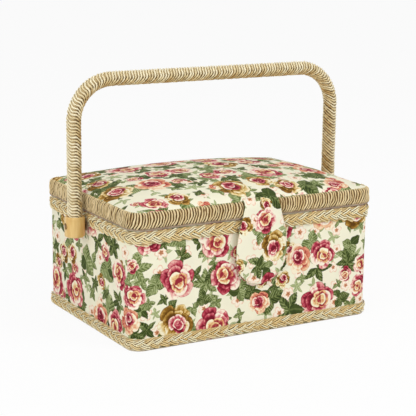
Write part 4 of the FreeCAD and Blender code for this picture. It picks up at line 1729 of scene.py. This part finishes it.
@dataclass
class StrawTrim:
    """Plaits round the box and the strands over the lid's edge.

    The strand's line has its way along the rim, inward and up, in millimetres.
    """

    plaits: tuple[Plait, ...] = (
        Plait("upper_plait", "upper_braid", RoundedLoop(148.6 * MM, 106.6 * MM, 15.6 * MM),
              height=117.9 * MM, period=34.5 * MM, swing=4.5 * MM, width=6.6 * MM),
        Plait("lower_plait", "lower_braid", RoundedLoop(148.4 * MM, 106.4 * MM, 15.4 * MM),
              height=7.3 * MM, period=33.6 * MM, swing=3.8 * MM, width=5.6 * MM),
    )
    weave: float = 1.05 * MM
    thick: float = 1.3 * MM
    period_points: int = 32
    rim: RoundedLoop = RoundedLoop(150 * MM, 108 * MM, 17 * MM)
    pitch: float = 3.2 * MM
    strand_line: tuple[tuple[float, float, float], ...] = (
        (-3.4, 2.9, 127.9), (-3.3, 1.2, 128.5), (-2.0, 0.9, 130.4), (-0.7, 0.9, 132.6),
        (0.0, 0.9, 135.2), (0.3, 0.95, 137.4), (0.2, 1.2, 139.6), (0.1, 2.2, 141.9),
        (-0.2, 3.7, 143.3), (-0.2, 4.9, 143.4))
    half_wide: float = 0.84 * MM
    half_thick: float = 0.95 * MM
    row_length: float = 2.2 * MM
    tree: PlaitTree = field(default_factory=PlaitTree)

    def build(self) -> None:
        """Make and dress the pieces."""
        for plait in self.plaits:
            self.plait(plait)
        self.rim_strands()

    @staticmethod
    def path(loop: RoundedLoop, height: float = 0.0) -> list[Vector]:
        """Points round a loop at a height."""
        marks = loop.marks(flat=6 * MM, bend=1 * MM)
        return [loop.at(mark)[0] + Vector((0, 0, height)) for mark in marks]

    def plait(self, sizes: Plait) -> None:
        """Plait three strands round the box.

        Args:
            sizes: Names and sizes of the plait.
        """
        path = self.path(sizes.loop, sizes.height)
        around = sum((b - a).length for a, b in zip(path, path[1:] + path[:1]))
        count = round(around / sizes.period)
        piece = self.tree.grow(sizes.name, path, True, {
            "Count": count * self.period_points, "Period": around / count, "Swing": sizes.swing,
            "Weave": self.weave, "Width": sizes.width, "Thickness": self.thick,
            "Finish": Finishes.plait.material()})
        attach(piece, Body.BOX, Slot.PLAIT, sizes.node)

    def strand(self) -> bpy.types.Object:
        """Make one strand that comes from under the lid's edge, up its face and over the top.

        Returns:
            The strand, to be repeated.
        """
        points = [Vector(p) * MM for p in self.strand_line]
        rows, sides = [], PathTree.straw_sides
        for index, point in enumerate(points):
            ahead = (points[min(index + 1, len(points) - 1)] - points[max(index - 1, 0)]).normalized()
            across = Vector((1, 0, 0)) - ahead * ahead.x
            across.normalize()
            out = across.cross(ahead)
            rows.append([point + across * (self.half_wide * math.sin(TURN * k / sides))
                         + out * (self.half_thick * math.cos(TURN * k / sides))
                         for k in range(sides)])
        skin = Skin()
        numbers = skin.grid(rows, loop=True)
        skin.faces += [tuple(numbers[0]), tuple(numbers[-1])]
        skin.uvs += [[NO_UV] * sides] * 2
        piece = skin.piece("rim_strand_pattern")
        along = piece.data.attributes.new("along", "FLOAT", "POINT")
        around = piece.data.attributes.new("around", "FLOAT", "POINT")
        # around marks the inner side of the strand, where the straw finish paints shade
        for row, ring in enumerate(numbers):
            for side, number in enumerate(ring):
                along.data[number].value = row * self.row_length
                around.data[number].value = 0.5 - abs(side / sides - 0.5)
        return piece

    def rim_strands(self) -> None:
        """Set strands side by side over the edge of the lid."""
        pattern = self.strand()
        count = round(self.rim.length() / self.pitch)
        piece = StrandRowTree().grow("rim_strands", self.path(self.rim), True, {
            "Count": count, "Strand": pattern, "Finish": Finishes.rim.material()})
        bpy.data.objects.remove(pattern)
        attach(piece, Body.LID, Slot.WOUND, "lid_rim_wrap")


@dataclass
class PaddedLid:
    """Lid: crowned cloth cushion, lining below, pin cushion and edge tape."""

    edge: RoundedLoop = RoundedLoop(146 * MM, 104 * MM, 13 * MM)
    foot: float = 143.05 * MM
    crown: float = 17.0 * MM
    slack: float = 1.0 * MM
    fall: tuple[float, float] = (146.3 * MM, 104.3 * MM)
    uneven: float = 0.5 * MM
    uneven_scale: float = 16.0
    held_below: float = 0.9 * MM
    inner: RoundedLoop = RoundedLoop(139.7 * MM, 97.7 * MM, 7 * MM)
    lining_top: float = 139.95 * MM

    def build(self) -> None:
        """Make and dress the pieces."""
        self.top_cushion()
        self.lid_lining()
        self.pin_cushion()
        self.edge_tape()

    def rise(self, spot: Vector) -> float:
        """Find the height of the cushion before it is stuffed.

        Args:
            spot: Point in plan.

        Returns:
            The height over it.
        """
        x = max(0.0, 1 - (spot.x / self.fall[0]) ** 2)
        y = max(0.0, 1 - (spot.y / self.fall[1]) ** 2)
        soft = noise.noise(Vector((spot.x * self.uneven_scale, spot.y * self.uneven_scale, 1.0)))
        crown = self.crown - self.slack / 2
        return self.foot + crown * math.sqrt(x * y) + self.uneven * soft * (x * y)

    def top_cushion(self) -> None:
        """Stretch printed cloth over the foam of the lid."""
        piece = crowned_pad("lid_cushion", self.edge, self.foot, self.rise)
        Stuffing(self.slack).swell(piece, self.on_edge)
        Finishes.top.dress(piece)
        attach(piece, Body.LID, Slot.PRINT, "lid_pad", "lid_cover")

    def on_edge(self, spot: Vector) -> bool:
        """Whether a point of the cushion lies on the board or at the edge."""
        return spot.z < self.foot + self.held_below

    def lid_lining(self) -> None:
        """Lay plain cloth under the lid, softly pulled in at its edge."""
        drop, shoulder = 0.55 * MM, 5 * MM

        def height(spot: Vector) -> float:
            """Underside over a point."""
            return self.lining_top - drop * rounded_edge(self.inner, spot, shoulder)

        piece = crowned_pad("lid_lining_cloth", self.inner, self.lining_top, height, 16)
        Finishes.lining.dress(piece)
        attach(piece, Body.LID, Slot.PLAIN, "lid_lining")
        2 * self.inner.half_x
        2 * self.inner.half_y

    def pin_cushion(self) -> None:
        """Hang a small stuffed cushion under the lid."""
        loop = RoundedLoop(38 * MM, 23 * MM, 9 * MM)
        centre = Vector((0, 15 * MM, 0))
        top, deep, fullness, past_edge = 139.35 * MM, 9.3 * MM, 0.42, 0.1 * MM

        def height(spot: Vector) -> float:
            """Find the underside of the cushion.

            Args:
                spot: Point in plan.

            Returns:
                Its height at the point.
            """
            x = max(0.0, 1 - ((spot.x - centre.x) / (loop.half_x + past_edge)) ** 2)
            y = max(0.0, 1 - ((spot.y - centre.y) / (loop.half_y + past_edge)) ** 2)
            return top - deep * (x * y) ** fullness

        piece = crowned_pad("pin_cushion_pad", loop, top, height, 16, centre, 4 * MM, 2 * MM)
        Finishes.cushion.dress(piece)
        attach(piece, Body.LID, Slot.FOAM, "pin_cushion")

    def edge_tape(self) -> None:
        """Lay the thin tape that shows as a line under the lid's edge."""
        loop = RoundedLoop(149.4 * MM, 107.4 * MM, 16.4 * MM)
        low, high = 126.4 * MM, 127.5 * MM
        inner, shoulder, turn, bulge = -6 * MM, -0.4 * MM, 0.3 * MM, 0.15 * MM
        outline = [(inner, low), (shoulder, low), (0.0, low + turn), (bulge, (low + high) / 2),
                   (0.0, high - turn), (shoulder, high), (inner, high)]
        piece = swept_band("edge_tape", loop, outline)
        Finishes.tape.dress(piece)
        attach(piece, Body.LID, Slot.TAPE, "lid_edge_tape")


@dataclass
class ClosingFlap:
    """Cloth tab that hangs from the lid's edge over the front of the box.

    The widths, the stands and the numbers of the round tip and the hanging part are in millimetres: a
    width is half the tab's, and a stand how far it keeps from the rim's face, each at its height.
    """

    middle: float = 1.5 * MM
    thick: float = 3.0 * MM
    tip: float = 54.0 * MM
    lid_reach: float = 106.7 * MM
    across: int = 8
    edge: float = 0.35
    tip_half: float = 0.6 * MM
    tip_taper: float = 9 * MM
    round_from: float = 85.0
    round_half: float = 31.0
    fullness: int = 6
    curl_centre: Vector = Vector((0, -102 * MM, 138 * MM))
    curl_radius: float = 7.9 * MM
    curl_degrees: range = range(74, 9, -8)
    hang_top: float = 138.0
    hang_fall: float = 84.0
    hang_steps: int = 34
    rim_face: float = 108.0
    half_thick: float = 1.6
    bend_from: tuple[float, float, float] = (1.5 * MM, -109.8 * MM, 143.0 * MM)
    bend_to: tuple[float, float, float] = (1.5 * MM, -110.8 * MM, 137.0 * MM)
    widths: tuple[tuple[float, float], ...] = ((150, 20.4), (140, 21.2), (126, 24.8), (112, 29.0),
                                               (98, 31.2), (85, 31.0))
    stands: tuple[tuple[float, float], ...] = ((140, 0.8), (126, 1.1), (110, 1.7), (92, 1.0),
                                               (75, -0.1), (60, -0.8), (54, -1.0))

    def half_width(self, height: float) -> float:
        """Find half the width of the tab.

        Args:
            height: Height in metres.

        Returns:
            The half width there, round at the tip.
        """
        z = height / MM
        if z <= self.round_from:
            low = (self.round_from - z) / self.round_half
            return self.round_half * MM * math.sqrt(max(0.0, 1 - low ** 2))
        return read_line(self.widths, z) * MM

    def centre_line(self) -> list[tuple[Vector, Vector]]:
        """Draw the middle line of the tab: a bend over the lid's edge, then the hanging part.

        Returns:
            Points with their outward directions, from the lid down.
        """
        line = []
        for degrees in self.curl_degrees:
            angle = math.radians(degrees)
            out = Vector((0, -math.cos(angle), math.sin(angle)))
            line.append((self.curl_centre + out * self.curl_radius, out))
        for step in range(self.hang_steps + 1):
            z = self.hang_top - self.hang_fall * (step / self.hang_steps)
            stand = read_line(self.stands, z)
            slope = (read_line(self.stands, z + 1) - read_line(self.stands, z - 1)) / 2
            out = Vector((0, -1, slope)).normalized()
            line.append((Vector((0, -(self.rim_face + stand + self.half_thick) * MM, z * MM)), out))
        return line

    def build(self) -> None:
        """Make and dress the tab."""
        line = self.centre_line()
        steps = [math.sin(math.pi / 2 * (k / self.across)) for k in range(-self.across, self.across + 1)]
        faces: dict[int, list] = {1: [], -1: []}
        uvs, run = [], 0.0
        for index, (spot, out) in enumerate(line):
            if index:
                run += (spot - line[index - 1][0]).length
            half = max(self.half_width(spot.z), self.tip_half)
            near_tip = max(0.0, min(1.0, (spot.z - self.tip) / self.tip_taper))
            uvs.append([(self.middle + step * half, -self.lid_reach - run) for step in steps])
            for side in (1, -1):
                row = []
                for step in steps:
                    full = self.edge + (1 - self.edge) * math.sqrt(near_tip)
                    puff = (1 - abs(step) ** self.fullness) * full
                    lift = (self.edge + (self.thick / (2 * MM) - self.edge) * puff) * MM
                    row.append(spot + Vector((self.middle + step * half, 0, 0)) + out * side * lift)
                faces[side].append(row)
        skin = Skin()
        front = skin.grid(faces[1], uvs)
        back = skin.grid(faces[-1], uvs)
        skin.bridge(self.outline(front), self.outline(back))
        piece = skin.piece("closing_flap")
        Finishes.top.dress(piece)
        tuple(self.bend_from)
        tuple(self.bend_to)
        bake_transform(piece)
        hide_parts("flap_tab", "flap_root")
        report(piece, Body.LID, Body.FLAP)

    @staticmethod
    def outline(numbers: Sequence[Sequence[int]]) -> list[int]:
        """Walk round the edge of a grid.

        Args:
            numbers: Rows of point numbers.

        Returns:
            Point numbers in order round the edge.
        """
        right = [row[-1] for row in numbers[1:]]
        bottom = list(reversed(numbers[-1][:-1]))
        left = [row[0] for row in reversed(numbers[1:-1])]
        return list(numbers[0]) + right + bottom + left


def read_line(pairs: Sequence[tuple[float, float]], place_on: float) -> float:
    """Read a smooth line through a few points.

    Args:
        pairs: Places and values, with falling places.
        place_on: Where to read.

    Returns:
        The value there.
    """
    if place_on >= pairs[0][0]:
        return pairs[0][1]
    for (high, first), (low, second) in zip(pairs, pairs[1:]):
        if place_on >= low:
            return second + (first - second) * (place_on - low) / (high - low)
    return pairs[-1][1]


@dataclass
class WoundHandle:
    """Carrying handle: straw wound round a bent cane."""

    half_span: float = 162.2 * MM
    foot: float = 117.8 * MM
    bar: float = 265.5 * MM
    bend: float = 43.0 * MM
    bend_steps: int = 30
    pitch: float = 3.3 * MM
    turn_points: int = 24
    radius: float = 7.0 * MM
    slant: float = 17 * MM
    straw: float = 1.6 * MM

    def path(self) -> list[Vector]:
        """Draw the middle line of the cane.

        Returns:
            Points from the left foot to the right one.
        """
        turn = self.half_span - self.bend
        level = self.bar - self.bend
        points = [Vector((-self.half_span, 0, self.foot))]
        for step in range(self.bend_steps + 1):
            angle = math.pi - math.pi / 2 * step / self.bend_steps
            points.append(Vector((-turn + self.bend * math.cos(angle), 0,
                                  level + self.bend * math.sin(angle))))
        return points + [Vector((-p.x, 0, p.z)) for p in reversed(points)]

    def build(self) -> None:
        """Make and dress the winding."""
        path = self.path()
        length = sum((b - a).length for a, b in zip(path, path[1:]))
        turns = round(length / self.pitch)
        piece = WindingTree().grow("handle_winding", path, False, {
            "Count": turns * self.turn_points, "Pitch": length / turns, "Radius": self.radius,
            "Slant": self.slant, "Width": self.straw, "Thickness": self.straw,
            "Finish": Finishes.wound.material()})
        attach(piece, Body.HANDLE, Slot.WOUND, "handle_wrap")


@dataclass
class Fittings:
    """Rigid CAD nodes that keep their shape, and the finish of each."""

    finishes: dict[str, Finish] = field(default_factory=lambda: {
        "wall_band": Finishes.board, "base_board": Finishes.board, "base_cover": Finishes.card,
        "lid_frame": Finishes.batten, "lid_board": Finishes.board, "handle_core": Finishes.cane,
        "ferrule_left": Finishes.honey, "ferrule_right": Finishes.honey, "tray": Finishes.tray,
        "tray_ledge_left": Finishes.batten, "tray_ledge_right": Finishes.batten,
        "strike_disc": Finishes.magnet, "flap_magnet": Finishes.magnet,
        "pivot_screw_left": Finishes.bronze, "pivot_screw_right": Finishes.bronze,
    })

    def dress(self) -> None:
        """Put a finish on every CAD node that is shown."""
        for name, node in frame["nodes"].items():
            finish = self.finishes.get(name, Finishes.steel)
            finish.dress(node)
            log.info("%s: %s", name, finish.name)


@dataclass
class Studio:
    """Pale floor, soft lamps and the camera.

    The camera has its place, its three directions and its focal length in pixels of the picture. Each
    lamp has its name, place, side in metres and power in watts.
    """

    spot: Vector = Vector((-0.72511, -1.23834, 0.43262))
    right: Vector = Vector((0.86407577, -0.50323007, 0.01151334))
    up: Vector = Vector((0.09913914, 0.19256358, 0.97626364))
    ahead: Vector = Vector((0.49350227, 0.84242434, -0.21627932))
    focal_pixels: float = 1318.55
    picture_pixels: int = 416
    sensor: float = 36.0
    lamps: tuple[tuple[str, tuple[float, float, float], float, float], ...] = (
        ("key", (0.75, -1.25, 1.25), 0.8, 11.2), ("fill", (-1.45, -0.75, 0.9), 1.1, 11.2),
        ("overhead", (0.0, 0.35, 1.7), 1.3, 3.2))
    aim: Vector = Vector((0, 0, 0.12))
    floor_reach: float = 6.0
    floor_colour: Colour = (0.9, 0.9, 0.9, 1.0)
    floor_glow: float = 0.92
    world_light: float = 0.48

    def build(self) -> None:
        """Set up the stage."""
        bpy.context.scene.view_settings.view_transform = "Standard"
        self.camera()
        self.floor()
        self.world()
        for lamp in self.lamps:
            self.lamp(*lamp)

    def camera(self) -> None:
        """Place the camera."""
        data = bpy.data.cameras.new("camera")
        data.sensor_width = self.sensor
        data.lens = self.focal_pixels / self.picture_pixels * self.sensor
        data.clip_start = 0.05
        camera = bpy.data.objects.new("camera", data)
        turn = Matrix((self.right, self.up, -self.ahead)).transposed()
        camera.matrix_world = Matrix.Translation(self.spot) @ turn.to_4x4()
        bpy.context.scene.collection.objects.link(camera)
        bpy.context.scene.camera = camera

    def lamp(self, name: str, spot: tuple[float, float, float], size: float, power: float) -> None:
        """Add one soft lamp that faces the object.

        Args:
            name: Name of the lamp.
            spot: Its place.
            size: Its side in metres.
            power: Its power in watts.
        """
        data = bpy.data.lights.new(name, "AREA")
        data.size = size
        data.energy = power
        lamp = bpy.data.objects.new(name, data)
        lamp.location = spot
        ahead = self.aim - Vector(spot)
        lamp.rotation_euler = ahead.to_track_quat("-Z", "Y").to_euler()
        bpy.context.scene.collection.objects.link(lamp)

    @staticmethod
    def shown(graph: Graph) -> Term:
        """1 for a ray from the camera, a reflection or a see-through piece, and 0 for others."""
        path = graph.node("ShaderNodeLightPath")
        seen = graph.term(path, "Is Camera Ray").most(graph.term(path, "Is Glossy Ray"))
        return seen.most(graph.term(path, "Is Transmission Ray"))

    def floor(self) -> None:
        """Lay a wide floor that shows white and keeps a soft shadow."""
        skin = Skin()
        reach = self.floor_reach
        skin.grid([[Vector((-reach, -reach, 0)), Vector((reach, -reach, 0))],
                   [Vector((-reach, reach, 0)), Vector((reach, reach, 0))]])
        piece = skin.piece("studio_floor", False)
        material = bpy.data.materials.new("studio_floor")
        material.use_nodes = True
        material.node_tree.nodes.clear()
        graph = Graph(material.node_tree)
        matt = graph.node("ShaderNodeBsdfDiffuse", {"Color": self.floor_colour})
        glow = graph.node("ShaderNodeEmission", {"Color": WHITE, "Strength": 1.0})
        mixed = graph.node("ShaderNodeMixShader", {0: self.floor_glow, 1: matt.outputs[0],
                                                   2: glow.outputs[0]})
        shown = graph.node("ShaderNodeMixShader", {0: self.shown(graph), 1: matt.outputs[0],
                                                   2: mixed.outputs[0]})
        graph.node("ShaderNodeOutputMaterial", {"Surface": shown.outputs[0]})
        piece.data.materials.append(material)

    def world(self) -> None:
        """Light the scene from all round, with a white background."""
        world = bpy.data.worlds.new("studio")
        bpy.context.scene.world = world
        world.use_nodes = True
        world.node_tree.nodes.clear()
        graph = Graph(world.node_tree)
        strength = self.shown(graph) * (1 - self.world_light) + self.world_light
        back = graph.node("ShaderNodeBackground", {"Color": WHITE, "Strength": strength})
        graph.node("ShaderNodeOutputWorld", {"Surface": back.outputs[0]})


def main() -> None:
    """Build the stage and every sub-assembly."""
    logging.basicConfig(level=logging.INFO, format="%(message)s")
    Studio().build()
    Fittings().dress()
    ClothBox().build()
    StrawTrim().build()
    PaddedLid().build()
    ClosingFlap().build()
    WoundHandle().build()


if __name__ == "__main__":
    main()
